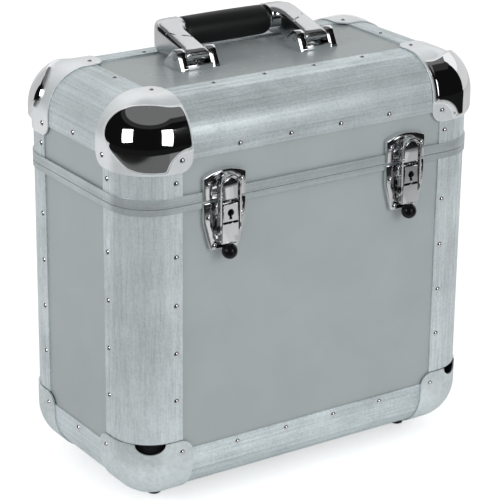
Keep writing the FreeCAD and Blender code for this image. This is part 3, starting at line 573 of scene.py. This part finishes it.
rubber = moulded("foot_rubber", colour=(0.012, 0.012, 0.013), worn=(0.03, 0.03, 0.03),
                 roughness=0.6, scale=1500.0, deep=0.0003)
grip_black = moulded("grip_black", colour=(0.004, 0.005, 0.005), worn=(0.012, 0.012, 0.013),
                     roughness=0.38, scale=1800.0, deep=0.00012, shine=0.3)
tip_black = moulded("tip_black", colour=(0.003, 0.003, 0.004), worn=(0.008, 0.008, 0.009),
                    roughness=0.2, scale=900.0, deep=0.00002, shine=0.2)
# The lock plugs are steel, coloured near black here as painted shade of the opening they sit in
plug_painted_shade = moulded("plug_painted_shade", colour=(0.010, 0.010, 0.011), worn=(0.022, 0.022, 0.023),
                      roughness=0.5, scale=1500.0, deep=0.0001)
foam = make_foam()


# Finishes of the pieces that stay as they are
plain_finishes = {
    "front_board": panel_sides, "back_board": panel_sides, "lid_front_board": panel_sides,
    "lid_back_board": panel_sides, "left_board": panel_ends, "right_board": panel_ends,
    "lid_end_boards": panel_ends, "bottom_board": panel_base, "lid_top_board": panel_top,
    "lid_edges": edge_z, "body_rim": rim_metal, "lid_rim": rim_metal, "body_fasteners": rivet_metal,
    "lid_fasteners": rivet_metal, "handle_pins": rivet_metal, "hinge_leaves_body": hinge_metal,
    "hinge_leaves_lid": hinge_metal, "hinge_pins": rivet_metal,
}
for corner in ("front_left", "front_right", "back_left", "back_right"):
    plain_finishes["body_edge_" + corner] = edge_z
for side in ("front", "back"):
    plain_finishes["top_edge_" + side] = edge_x
    plain_finishes["bottom_edge_" + side] = edge_x
for side in ("left", "right"):
    plain_finishes["top_edge_" + side] = edge_y
    plain_finishes["bottom_edge_" + side] = edge_y
    plain_finishes["lever_pins_" + side] = rivet_metal
    # The lock plugs get near black painted shade in place of their steel
    plain_finishes["lock_plug_" + side] = plug_painted_shade


def dress(piece, material):
    piece.data.materials.clear()
    piece.data.materials.append(material)
    return piece


for name, material in plain_finishes.items():
    dress(nodes[name], material)


# Hands a finished piece to its body, in place of its node
def fit(piece, body, slot, material, *replaced):
    dress(piece, material)
    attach(piece, body)
    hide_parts(*replaced)
    return piece


# Pressed corners: the skin of a cube's corner, rounded like the case and raised over it.
# The dome ends at a distance from the corner along x, y and z, and gives way to a round lobe
# on the end, the top and the front, which is given as its two places and its radius
CAP_LOBE = 0.012
FLANGE_RISE = 0.0014
DOME_RISE = 0.0030
DOME_END = (0.0569, 0.0502, 0.0564)
DOME_BLEND = 0.0198
DOME_TIGHT_BLEND = 0.0035
END_LOBE = (0.0457, 0.0599, 0.0231)
TOP_LOBE = (0.0506, 0.0577, 0.0401)
FRONT_LOBE = (0.0519, 0.0571, 0.0173)
DOME_SLOPE = 0.0036
DOME_CUTS = 74
DOME_SKIN = 0.0012
CAP_CUTS = 56
CAP_SKIN = 0.0013
SKIN_EDGE = 0.0003
ON_A_FACE = 1e-6

# The gap in a bottom cap, where the upright meets it: a round tool, pressed flatter
NOTCH_RADIUS = 0.0132
NOTCH_START = Vector((-0.003, -0.0306, 0))
NOTCH_END = Vector((0.038, 0.038, 0))
NOTCH_FLATTENED = 0.66


# A point of the cube's skin, moved onto the case's rounding, and the way out from there
def rounded_place(p):
    q = list(p)
    start = CAP_REACH - CAP_LOBE
    free = [i for i in range(3) if q[i] > ON_A_FACE]
    if len(free) == 2 and min(q[free[0]], q[free[1]]) > start:
        a = q[free[0]] - start
        b = q[free[1]] - start
        share = max(a, b) / math.hypot(a, b)
        q[free[0]] = start + a * share
        q[free[1]] = start + b * share
    centre = Vector([max(value, EDGE_ROUND) for value in q])
    out = (Vector(q) - centre).normalized()
    return centre + out * EDGE_ROUND, out


def round_lobe(a, b, lobe):
    return math.hypot(a - lobe[0], b - lobe[1]) - lobe[2]


# The lesser of two values, rounded off where they come within reach of each other
def softer_min(a, b, reach):
    h = max(reach - abs(a - b), 0.0) / reach
    return min(a, b) - h * h * reach / 4


# 0 on the flange and 1 on the dome
def dome_share(p):
    near = softer_min(round_lobe(p.y, p.z, END_LOBE), DOME_END[2] - p.z, DOME_BLEND)
    near = softer_min(near, DOME_END[1] - p.y, DOME_BLEND)
    near = softer_min(near, round_lobe(p.x, p.y, TOP_LOBE), DOME_BLEND)
    near = softer_min(near, DOME_END[0] - p.x, DOME_TIGHT_BLEND)
    near = softer_min(near, round_lobe(p.x, p.z, FRONT_LOBE), DOME_TIGHT_BLEND)
    t = min(max(near / DOME_SLOPE, 0.0), 1.0)
    return t * t * (3 - 2 * t)


def corner_skin(name, cuts, domed):
    bpy.ops.object.select_all(action="DESELECT")
    bpy.ops.mesh.primitive_cube_add(size=CAP_REACH, location=(CAP_REACH / 2,) * 3)
    piece = settle(name)
    pick_faces(piece, lambda face: max(face.normal) > 0.9)
    bpy.ops.mesh.delete(type="FACE")
    bpy.ops.mesh.select_all(action="SELECT")
    bpy.ops.mesh.subdivide(number_cuts=cuts)
    bpy.ops.object.mode_set(mode="OBJECT")
    polish = piece.data.attributes.new("polish", "FLOAT", "POINT")
    for vertex in piece.data.vertices:
        place, out = rounded_place(vertex.co)
        share = dome_share(place) if domed else 0.0
        vertex.co = place + out * (FLANGE_RISE + DOME_RISE * share)
        polish.data[vertex.index].value = share
    return piece


# From the corner's own measures to the front left corner, at the top or the bottom
def stand_corner(piece, top):
    height = CASE_HEIGHT if top else 0.0
    rise = -1 if top else 1
    place = Matrix.Translation((-HALF_WIDTH, -HALF_DEPTH + SHIFT_Y, height + FOOT_RISE))
    piece.data.transform(place @ Matrix.Diagonal((1, 1, rise, 1)))
    if top:
        flip_faces(piece)
    return piece


corners = (("front_left", False, False), ("front_right", True, False),
           ("back_left", False, True), ("back_right", True, True))

dome = stand_corner(corner_skin("dome", DOME_CUTS, True), True)
change(dome, "SOLIDIFY", thickness=DOME_SKIN, offset=-1)
bevel(dome, SKIN_EDGE, 2, 60)
smooth(dome, 50)
for name, across_x, across_y in corners:
    piece = mirrored(dome, "ball_corner_pressed_" + name, across_x, across_y)
    fit(piece, "lid", "corner_chrome", corner_metal, "ball_corner_" + name)
bpy.data.objects.remove(dome)

cap = corner_skin("cap", CAP_CUTS, False)
notch = turned("notch", NOTCH_RADIUS, NOTCH_START, NOTCH_END, 96)
notch.data.transform(Matrix.Translation((0, 0, CAP_REACH)) @ Matrix.Diagonal((1, 1, NOTCH_FLATTENED, 1)))
change(cap, "SOLIDIFY", thickness=CAP_SKIN, offset=-1)
carve(cap, notch)
bevel(cap, SKIN_EDGE, 2, 60)
stand_corner(cap, False)
smooth(cap, 50)
for name, across_x, across_y in corners:
    piece = mirrored(cap, "bottom_cap_pressed_" + name, across_x, across_y)
    fit(piece, "body", "cap_aluminium", cap_metal, "bottom_cap_" + name)
bpy.data.objects.remove(cap)


# Latch pieces, in millimetres, modelled about x = 0 and copied to both latches.
# near and far are distances from the front face, outwards
PLATE_HALF = 20.5
PLATE_BACK = -1.4
PLATE_FACE = 3.5
LOCK_Z = 258.7
LOCK_BORE_Z = 257.5
LEVER_PIN_Z = 264.5
HOOK_PIN_Z = 242
HOOK_TOP = 291.6
HOOK_HALF = 10.4
HOOK_INNER = 8.9
TONGUE_HALF = 7.3
PIN_BORE = 1.35
STEM_Y = -106.9
BALL_PLACE = at(0, -108.1, 224.6)
BALL_RADIUS = 0.0067
BALL_FLAT = 0.0057


def ease(piece, width, segments=3):
    return smooth(bevel(piece, width, segments, 25), 40)


def front_block(name, x0, x1, near, far, z0, z1):
    return block(name, at(x0, FRONT_Y - far, z0), at(x1, FRONT_Y - near, z1))


def front_turned(name, radius, near, far, z):
    return turned(name, radius / 1000, at(0, FRONT_Y - near, z), at(0, FRONT_Y - far, z), 40)


def pin_hole(name, half, depth, z):
    start = at(-half, FRONT_Y - depth, z)
    return turned(name, PIN_BORE / 1000, start, at(half, FRONT_Y - depth, z), 32)


# An outline with straight sides and a bowed top
def bowed(half, low, side, top):
    rise = top - side
    radius = (half * half + rise * rise) / (2 * rise)
    sweep = math.degrees(math.asin(half / radius))
    return [(half, low)] + arc(0, top - radius, radius, 90 - sweep, 90 + sweep, 20) + [(-half, low)]


def keeper_shape():
    shell = pressed("keeper", bowed(PLATE_HALF, 269.2, 289.5, 294.3), PLATE_BACK, PLATE_FACE)
    bevel(shell, 0.0011, 3, 40)
    rim_room = front_block("rim_room", -24, 24, -3, 1.5, 260, 277.1)
    field = pressed("field", bowed(15.2, 271.5, 285.5, 289.4), 2.9, 5)
    bevel(field, 0.0004, 2, 40)
    arch = [(13.6, 264)] + arc(0, 278.6, 13.6, 0, 180, 24) + [(-13.6, 264)]
    arch_room = pressed("arch_room", arch, 2.2, 5)
    carve(shell, rim_room, field, arch_room)
    ridge = front_block("ridge", -7, 7, 1.8, 5.0, 279, 282)
    bevel(ridge, 0.0008, 3)
    return smooth(joined("keeper", [shell, ridge]), 40)


def base_shape():
    outline = [(PLATE_HALF, 267.6), (-PLATE_HALF, 267.6), (-PLATE_HALF, 250), (-14.5, 226.4), (-13, 225),
               (13, 225), (14.5, 226.4), (PLATE_HALF, 250)]
    shell = pressed("base", outline, PLATE_BACK, PLATE_FACE)
    bevel(shell, 0.0011, 3, 40)
    rim_room = front_block("rim_room", -24, 24, -3, 1.5, 262.7, 270)
    lever_room = front_block("lever_room", -10.6, 10.6, 1.2, 6, 257.5, 270)
    channel = [(12.6, 270), (-12.6, 270), (-12.6, 246), (-8, 229.5), (8, 229.5), (12.6, 246)]
    channel_room = pressed("channel", channel, 2.5, 6)
    bevel(channel_room, 0.0006, 2, 40)
    carve(shell, rim_room, lever_room, channel_room)
    side = [(-100, 257.5), (-100, 268), (-105.4, 268)] + arc(-104.4, 265, 3.0, 90, 180, 8)
    side += [(-107.4, 259), (-105, 257.5)]
    cheek = side_plate("cheek", side, 11, 12.5)
    ease(cheek, 0.0003, 2)
    boss = turned("boss", 0.0026, at(12.3, -105, LEVER_PIN_Z), at(12.9, -105, LEVER_PIN_Z), 32)
    ease(boss, 0.0002, 2)
    others = [mirrored(piece, "other", True, False) for piece in (cheek, boss)]
    return smooth(joined("base", [shell, cheek, boss] + others), 40)


# The keyhole: a slot below a round opening
def key_tool(name, near, far):
    outline = [(-1.2, 252.9), (1.2, 252.9)] + arc(0, LOCK_Z, 3.0, -66, 246, 40)
    return pressed(name, outline, near, far)


def lever_shape():
    shell = front_block("lever", -8.4, 8.4, 4.3, 11.7, 232, 268)
    hollow = front_block("hollow", -7.2, 7.2, 2, 10.5, 233.2, 266.8)
    carve(shell, hollow)
    bevel(shell, 0.0009, 3, 60)
    groove = front_block("groove", -7.6, 7.6, 9.5, 13, 249.0, 251.1)
    lower = front_block("lower", -9, 9, 11.2, 13, 231, 232.9)
    pin_low = pin_hole("pin_low", 12, 7.0, HOOK_PIN_Z)
    pin_high = pin_hole("pin_high", 12, 7.5, LEVER_PIN_Z)
    carve(shell, groove, lower, key_tool("key", 10, 13), pin_low, pin_high)
    plate = pressed("plate", [(6.9, 251.6), (6.9, 266.2), (-6.9, 266.2), (-6.9, 251.6)], 11.5, 11.95)
    carve(plate, key_tool("key", 10, 13))
    ease(plate, 0.00018, 1)
    boss = front_turned("boss", 5.05, 5.8, 10.6, LOCK_BORE_Z)
    bore = front_turned("bore", 4.25, 3.6, 12, LOCK_BORE_Z)
    carve(boss, bore)
    stem = turned("stem", 0.0022, at(0, STEM_Y, 233.4), at(0, STEM_Y, 226), 32)
    collar = turned("collar", 0.0036, at(0, STEM_Y, 232.4), at(0, STEM_Y, 230.9), 32, 0.003)
    ease(collar, 0.0003, 2)
    return smooth(joined("lever", [shell, plate, boss, stem, collar]), 40)


# Two legs and a round arch: the hook's outline and those inside it
def hook_arch(half, low):
    return [(half, low)] + arc(0, HOOK_TOP - HOOK_HALF, half, 0, 180, 28) + [(-half, low)]


def hook_shape():
    band = pressed("hook", hook_arch(HOOK_HALF, HOOK_PIN_Z), 6.6, 12.2)
    inside = pressed("inside", hook_arch(HOOK_INNER, 230), 5, 14)
    line = front_block("line", -11, 11, 9.0, 9.5, 230, 276)
    line_room = front_block("line_room", -10.1, 10.1, 8, 10, 229, 277)
    carve(line, line_room)
    carve(band, inside, line)
    bevel(band, 0.00045, 3, 40)
    pieces = [band]
    for side in (-1, 1):
        outline = [(-109.7, 249), (-109.7, 244.5)] + arc(-104.5, HOOK_PIN_Z, 3.0, 205, 390, 12)
        tab = side_plate("tab", outline + [(-106.9, 249)], side * HOOK_INNER, side * HOOK_HALF)
        ease(tab, 0.0003, 2)
        pieces.append(tab)
    tongue = pressed("tongue", hook_arch(TONGUE_HALF, 270.2), 10.1, 11.3)
    bevel(tongue, 0.0004, 2, 40)
    bridge = front_block("bridge", -9.2, 9.2, 9.9, 10.9, 270.2, 273.4)
    bevel(bridge, 0.0003, 2)
    tip = front_block("tip", -5, 5, 5.3, 10.4, 283, 286)
    bevel(tip, 0.0007, 3)
    return smooth(joined("hook", pieces + [tongue, bridge, tip]), 40)


# The ball at the lever's end, flat where its stem enters
def ball_shape():
    bpy.ops.object.select_all(action="DESELECT")
    bpy.ops.mesh.primitive_uv_sphere_add(segments=56, ring_count=36, radius=BALL_RADIUS, location=BALL_PLACE)
    ball = settle("ball")
    top = BALL_PLACE.z + BALL_FLAT
    pick_faces(ball, lambda face: face.center.z > top)
    bpy.ops.transform.resize(value=(1, 1, 0))
    bpy.ops.mesh.inset(thickness=0.0005, depth=-0.0003)
    bpy.ops.object.mode_set(mode="OBJECT")
    return smooth(ball, 30)


# Each shape with its name, its body, its node, its slot and its finish
latch_shapes = (
    (keeper_shape(), "keeper_pressed_", "lid", "keeper_", "fitting_chrome", fitting_metal),
    (base_shape(), "latch_base_pressed_", "body", "latch_base_", "fitting_chrome", fitting_metal),
    (lever_shape(), "lever_formed_", "lever_", "latch_lever_", "fitting_chrome", fitting_metal),
    (hook_shape(), "hook_formed_", "hook_", "latch_hook_", "fitting_chrome", fitting_metal),
    (ball_shape(), "lever_ball_", "lever_", "lever_tip_", "tip_black", tip_black),
)
for shape, label, body, node, slot, material in latch_shapes:
    for side, sign in (("left", -1), ("right", 1)):
        piece = moved(shape, label + side, (sign * LATCH_X, 0, 0))
        rides_on = body + side if body.endswith("_") else body
        fit(piece, rides_on, slot, material, node + side)
    bpy.data.objects.remove(shape)


# Handle, in millimetres: grip, arms and brackets, the right side modelled and the left mirrored
GRIP_Y = 50
GRIP_Z = 368.6
GRIP_RADIUS = 13.5
GRIP_HALF = 44.5
GRIP_STEPS = 40
PIVOT_Y = -3
PIVOT_Z = 363.5
PIVOT_BORE = 2.25
ARM_BOSS = 5.8
ARM_IN = 50.6
ARM_OUT = 72.6
ARM_END = 44.8
ARM_OVAL = 14.06
ARM_OVAL_Y = 49.4
ARM_OVAL_START = 45.5
ARM_RISE = 12.8
ARM_DROP = 2.6
ARM_SQUARENESS = 0.36
BRACKET_LOW = 352.5
PIN_HEAD = 3.1


def side_rod(name, radius, x0, x1, y, z, sides=48):
    return turned(name, radius / 1000, at(x0, y, z), at(x1, y, z), sides)


# The grip swells towards its middle and has a shallow parting line below
def grip_place(step, angle):
    along = abs(step / GRIP_STEPS * 2 - 1)
    swell = 1 - 0.03 * along ** 2 - 0.10 * max(along - 0.93, 0) / 0.07
    seam = 0.985 if abs(math.degrees(angle) + 90) < 3 else 1.0
    radius = GRIP_RADIUS * swell * seam
    x = -GRIP_HALF + 2 * GRIP_HALF * step / GRIP_STEPS
    return at(x, GRIP_Y + radius * math.cos(angle), GRIP_Z + radius * math.sin(angle))


# Top and bottom of an arm, seen from the side, at a depth
def arm_heights(y):
    if y < PIVOT_Y:
        half = math.sqrt(max(ARM_BOSS ** 2 - (PIVOT_Y - y) ** 2, 0.0))
        return PIVOT_Z + half, PIVOT_Z - half
    if y > ARM_OVAL_START:
        half = min(math.sqrt(max(ARM_OVAL ** 2 - (y - ARM_OVAL_Y) ** 2, 0.0)), GRIP_RADIUS)
        return GRIP_Z + half, GRIP_Z - half
    share = (y - PIVOT_Y) / (ARM_OVAL_START - PIVOT_Y)
    return PIVOT_Z + ARM_BOSS + share * ARM_RISE, PIVOT_Z - ARM_BOSS - share * ARM_DROP


# The two sides of an arm from above, from the pivot to the grip
def arm_sides():
    inner = []
    outer = []
    for i in range(7):
        y = PIVOT_Y - ARM_BOSS * math.cos(math.radians(15 * i))
        inner.append((ARM_IN, y))
        outer.append((ARM_OUT, y))
    for i in range(1, 13):
        inner.append((ARM_IN, PIVOT_Y + 27 * i / 12))
        outer.append((ARM_OUT, PIVOT_Y + 41.5 * i / 12))
    curve = arc(47.6, 38.5, 25, 0, 90, 20)[1:]
    for i, point in enumerate(curve):
        s = (i + 1) / len(curve)
        inner.append((ARM_IN - 5.8 * s ** 2, 24 + 12.7 * math.sin(s * math.pi / 2)))
        outer.append(point)
    inner.append((ARM_END, 36.7))
    outer.append((ARM_END, 63.4))
    return inner, outer


# An arm: its section is a rounded square that fills the space between its sides
def arm_shape():
    inner, outer = arm_sides()

    def place(step, angle):
        u = math.copysign(abs(math.cos(angle)) ** ARM_SQUARENESS, math.cos(angle))
        v = math.copysign(abs(math.sin(angle)) ** ARM_SQUARENESS, math.sin(angle))
        share = (u + 1) / 2
        x = inner[step][0] + (outer[step][0] - inner[step][0]) * share
        y = inner[step][1] + (outer[step][1] - inner[step][1]) * share
        top, bottom = arm_heights(y)
        return at(x, y, (top + bottom) / 2 + v * (top - bottom) / 2)

    body = tube("arm", 112, len(inner) - 1, place)
    undercut = block("undercut", at(40, 30, 340), at(53, 66, 374.5))
    crease = plan_plate("crease", [(51, 13.2), (61.0, 17.9), (61.0, 19.5), (51, 14.8)], 373.4, 380)
    step = plan_plate("step", [(66, 20.4), (73.6, 28.0), (73.6, 30.0), (66, 22.4)], 375, 382)
    carve(body, undercut, crease, step, side_rod("bore", PIVOT_BORE, 30, 90, PIVOT_Y, PIVOT_Z))
    return smooth(body, 35)


# The bright sleeve between the grip and each arm
def ferrule_shape():
    ring = side_rod("ferrule", 10.5, 42.4, 47, GRIP_Y, GRIP_Z, 72)
    bevel(ring, 0.0018, 4, 40)
    neck = side_rod("neck", 8.8, 46.5, 54, GRIP_Y, GRIP_Z, 72)
    bevel(neck, 0.0008, 3, 40)
    return smooth(joined("ferrule", [ring, neck]), 40)


# A bracket: two ears on a foot that is screwed to the lid, with a lip in front
def bracket_shape():
    profile = [(-13, BRACKET_LOW), (-13, 353.2)] + arc(-1.04, 364.02, 5.5, 152, 90, 12)
    profile += [(0, 369.5), (15, 357), (15, BRACKET_LOW)]
    pieces = []
    for x0, x1 in ((42.1, 50.1), (73.1, 81.1)):
        ear = side_plate("ear", profile, x0, x1)
        bevel(ear, 0.0004, 2, 40)
        pin_end = side_rod("pin_end", PIN_HEAD, x0 - 1, x0 + 0.5, PIVOT_Y, PIVOT_Z)
        far_end = side_rod("far_end", PIN_HEAD, x1 - 0.5, x1 + 1, PIVOT_Y, PIVOT_Z)
        carve(ear, pin_end, far_end, side_rod("bore", PIVOT_BORE, 30, 90, PIVOT_Y, PIVOT_Z))
        pieces.append(ear)
    foot = block("foot", at(42.6, -12.6, BRACKET_LOW), at(80.6, 14.6, 354.5))
    bevel(foot, 0.0005, 2)
    holes = [turned("hole", 0.0021, at(x, 10, 350), at(x, 10, 356), 32) for x in (56.6, 66.6)]
    carve(foot, *holes)
    lip = block("lip", at(49, -13, BRACKET_LOW), at(74.2, -11, 357))
    bevel(lip, 0.0004, 2)
    return smooth(joined("bracket", pieces + [foot, lip]), 40)


grip = smooth(tube("grip", 96, GRIP_STEPS, grip_place), 50)
fit(grip, "handle", "grip_black", grip_black, "handle_grip")
arm = arm_shape()
ferrule = ferrule_shape()
bracket = bracket_shape()
for side, turned_over in (("right", False), ("left", True)):
    arm_piece = mirrored(arm, "arm_cast_" + side, turned_over, False)
    fit(arm_piece, "handle", "fitting_chrome", arm_metal, "handle_arm_" + side)
    ring_piece = mirrored(ferrule, "ferrule_" + side, turned_over, False)
    fit(ring_piece, "handle", "fitting_chrome", fitting_metal, "handle_arm_" + side)
pair = [copy_of(bracket, "right"), mirrored(bracket, "left", True, False)]
brackets = joined("handle_brackets_cast", pair)
fit(brackets, "lid", "fitting_chrome", fitting_metal, "handle_brackets")
for shape in (arm, ferrule, bracket):
    bpy.data.objects.remove(shape)


# Feet: tapered rubber with a screw well below
FOOT_X = 133.5
FOOT_Y = 51


def feet_shape():
    pieces = []
    for x, y in ((FOOT_X, FOOT_Y), (-FOOT_X, FOOT_Y), (FOOT_X, -FOOT_Y), (-FOOT_X, -FOOT_Y)):
        foot = turned("foot", 0.0068, at(x, y, -1.4), at(x, y, -11.3), 64, 0.0058)
        bevel(foot, 0.0007, 3, 40)
        well = turned("well", 0.0034, at(x, y, -12), at(x, y, -9.2), 40)
        shaft = turned("shaft", 0.0018, at(x, y, -12), at(x, y, -1), 32)
        rings = turned("rings", 0.0074, at(x, y, -5.4), at(x, y, -5.0), 64)
        core = turned("core", 0.0060, at(x, y, -6), at(x, y, -4), 64)
        carve(rings, core)
        carve(foot, well, shaft, rings)
        pieces.append(smooth(foot, 40))
    return joined("feet_moulded", pieces)


# Foam pads: the plan in millimetres, and how the cut face drops, waves and draws in
PAD_X = 131
PAD_Y = 48.5
PAD_CUTS = 47
EDGE_DROP = 0.0016
EDGE_REACH = 0.004
FACE_DROP = 0.0004
WAVE = 0.00022
SIDE_PULL = 0.0006
RIM_PULL = 0.0010
TAIL_X = (-66.6, -56.6, 56.6, 66.6)


# Cut foam, its edges softened and its open face uneven
def pad_shape(name, low, high, up):
    pad = block(name, low, high)
    pick(pad)
    bpy.ops.object.mode_set(mode="EDIT")
    bpy.ops.mesh.select_all(action="SELECT")
    bpy.ops.mesh.subdivide(number_cuts=PAD_CUTS)
    bpy.ops.object.mode_set(mode="OBJECT")
    middle = (low + high) / 2
    size = (high - low) / 2
    for vertex in pad.data.vertices:
        u = (vertex.co.x - middle.x) / size.x
        v = (vertex.co.y - middle.y) / size.y
        w = (vertex.co.z - middle.z) / size.z * up
        edge = min((1 - abs(u)) * size.x, (1 - abs(v)) * size.y)
        drop = EDGE_DROP * math.exp(-edge / EDGE_REACH)
        wave = WAVE * math.sin(u * 31 + 3 * v) * math.sin(v * 13 - 2 * u)
        if w > 0:
            vertex.co.z -= up * w * (drop + FACE_DROP - wave)
        pull = SIDE_PULL * (1 - w * w) + (RIM_PULL if w > 0.9 else 0.0)
        if abs(u) > 0.98:
            vertex.co.x -= math.copysign(pull, u)
        if abs(v) > 0.97:
            vertex.co.y -= math.copysign(pull, v)
    return smooth(pad, 60)


fit(feet_shape(), "body", "black_rubber", rubber, "feet")
base_pad = pad_shape("base_foam", at(-PAD_X, -PAD_Y, 6.5), at(PAD_X, PAD_Y, 12.5), 1)
fit(base_pad, "body", "foam", foam, "base_pad")
lid_pad = pad_shape("lid_foam", at(-PAD_X, -PAD_Y, 341.5), at(PAD_X, PAD_Y, 347.5), -1)
for x in TAIL_X:
    carve(lid_pad, turned("tail_room", 0.0036, at(x, 10, 340), at(x, 10, 349), 32))
smooth(lid_pad, 60)
fit(lid_pad, "lid", "foam", foam, "lid_pad")


# Camera, at the photograph's place: turned right, down and a little over, in degrees
CAMERA_PLACE = (-0.99333, -1.47578, 0.8579)
CAMERA_TURNED = (33.85, -20.73, 0.68)
CAMERA_LENS = 152.6


def place_camera():
    yaw, pitch, roll = (math.radians(angle) for angle in CAMERA_TURNED)
    forward = Vector((math.sin(yaw) * math.cos(pitch), math.cos(yaw) * math.cos(pitch), math.sin(pitch)))
    right = forward.cross(Vector((0, 0, 1))).normalized()
    up = right.cross(forward)
    across = right * math.cos(roll) + up * math.sin(roll)
    upward = up * math.cos(roll) - right * math.sin(roll)
    turn = Matrix((across, upward, -forward)).transposed()
    data = bpy.data.cameras.new("camera")
    data.lens = CAMERA_LENS
    data.sensor_width = 36
    data.clip_end = 60
    camera = bpy.data.objects.new("camera", data)
    bpy.context.collection.objects.link(camera)
    camera.matrix_world = Matrix.Translation(CAMERA_PLACE) @ turn.to_4x4()
    bpy.context.scene.camera = camera


# White floor that keeps a soft shadow
FLOOR_SIZE = 14
FLOOR_TONE = 0.9
FLOOR_GLOW = 0.5


def make_floor():
    bpy.ops.object.select_all(action="DESELECT")
    bpy.ops.mesh.primitive_plane_add(size=FLOOR_SIZE)
    floor = settle("floor")
    material, tree, shader, place = finish("floor_white", 0.9, 0.0)
    shader.inputs["Base Color"].default_value = (FLOOR_TONE, FLOOR_TONE, FLOOR_TONE, 1)
    shader.inputs["Specular IOR Level"].default_value = 0.0
    shader.inputs["Emission Color"].default_value = (1, 1, 1, 1)
    path = tree.nodes.new("ShaderNodeLightPath")
    seen = maths(tree, "MULTIPLY", path.outputs["Is Camera Ray"], FLOOR_GLOW)
    tree.links.new(seen, shader.inputs["Emission Strength"])
    dress(floor, material)


# Cards that only reflections see: the dark room round the photographer
def show_to_reflections(card, tone):
    material, tree, shader, place = finish("paint_" + card.name, 1.0, 0.0)
    shader.inputs["Base Color"].default_value = (0.0, 0.0, 0.0, 1)
    shader.inputs["Specular IOR Level"].default_value = 0.0
    shader.inputs["Emission Color"].default_value = (tone, tone, tone, 1)
    shader.inputs["Emission Strength"].default_value = 1.0
    dress(card, material)
    card.visible_camera = False
    card.visible_diffuse = False
    card.visible_shadow = False
    card.visible_transmission = False


# The angle of a point round the case: 0 is straight in front, and positive to the right
def angle_round(p):
    return math.degrees(math.atan2(p.x, -p.y))


# A card from one angle to another: a wall where it has no inner radius, and else a flat ring
def make_card(name, low, high, inner, outer, height, tone):
    bpy.ops.object.select_all(action="DESELECT")
    if inner is None:
        bpy.ops.mesh.primitive_cylinder_add(vertices=144, radius=outer, depth=height,
                                            end_fill_type="NOTHING", location=(0, 0, height / 2))
    else:
        bpy.ops.mesh.primitive_circle_add(vertices=144, radius=outer, fill_type="NGON",
                                          location=(0, 0, height))
    card = settle(name)
    if inner is not None:
        pick_faces(card, lambda face: True)
        bpy.ops.mesh.inset(thickness=outer - inner)
        bpy.ops.object.mode_set(mode="OBJECT")
    pick_faces(card, lambda face: face.center.xy.length < 0.01 or not low < angle_round(face.center) < high)
    bpy.ops.mesh.delete(type="FACE")
    bpy.ops.object.mode_set(mode="OBJECT")
    show_to_reflections(card, tone)


# Each card: name, angles from and to, inner and outer radius, height and tone
ROOM_REACH = 3.2
ROOM_HEIGHT = 3.0
CARD_RISE = 0.004
CARDS = (
    ("card_wall", -150, 72, None, ROOM_REACH, ROOM_HEIGHT, 0.005),
    ("card_wall_left", -180, -150, None, ROOM_REACH, ROOM_HEIGHT, 0.6),
    ("card_wall_back", 72, 180, None, ROOM_REACH, 1.6, 0.72),
    ("card_floor", -122, 75, 1.14, ROOM_REACH, CARD_RISE, 0.01),
    ("card_floor_left", -122, 7, 0.3, 1.14, CARD_RISE, 0.14),
    ("card_floor_near", 7, 20, 0.3, 0.9, CARD_RISE, 0.72),
    ("card_floor_middle", 20, 32, 0.3, 0.9, CARD_RISE, 0.62),
    ("card_floor_right", 32, 75, 0.3, 0.9, CARD_RISE, 0.47),
    ("card_floor_right_rim", 7, 75, 0.9, 1.14, CARD_RISE, 0.2),
    ("card_ceiling_far", -150, 75, 2.4, ROOM_REACH, ROOM_HEIGHT, 0.03),
    ("card_ceiling", -180, 180, 0.02, 2.4, ROOM_HEIGHT, 0.17),
)


# Lamps that the corners mirror as two bright windows, each tilted in its plane
LIT_PLACE = Vector((-0.14, -0.05, 0.32))
LAMP_POWER = 18


def make_lamp(name, place, wide, high, tilt):
    data = bpy.data.lights.new(name, "AREA")
    data.shape = "RECTANGLE"
    data.size = wide
    data.size_y = high
    data.energy = LAMP_POWER
    lamp = bpy.data.objects.new(name, data)
    bpy.context.collection.objects.link(lamp)
    lamp.location = place
    facing = (Vector(place) - LIT_PLACE).to_track_quat("Z", "Y")
    lamp.rotation_euler = (facing @ Quaternion((0, 0, 1), math.radians(tilt))).to_euler()


# A white surround, a little dimmer for the light that it sheds
WORLD_SHED = 0.6


def make_world():
    world = bpy.data.worlds.new("world")
    bpy.context.scene.world = world
    world.use_nodes = True
    tree = world.node_tree
    back = tree.nodes["Background"]
    path = tree.nodes.new("ShaderNodeLightPath")
    seen = maths(tree, "MAXIMUM", path.outputs["Is Camera Ray"], path.outputs["Is Glossy Ray"])
    seen = maths(tree, "MAXIMUM", seen, path.outputs["Is Transmission Ray"])
    tree.links.new(spread(tree, seen, 0.0, 1.0, WORLD_SHED, 1.0), back.inputs["Strength"])
    back.inputs["Color"].default_value = (1, 1, 1, 1)


place_camera()
make_floor()
for card in CARDS:
    make_card(*card)
make_world()
make_lamp("key", (-2.45, -0.38, 1.16), wide=1.1, high=1.15, tilt=16)
make_lamp("fill", (0.5, -2.45, 1.06), wide=1.2, high=1.5, tilt=-14)
bpy.context.scene.view_settings.view_transform = "Standard"
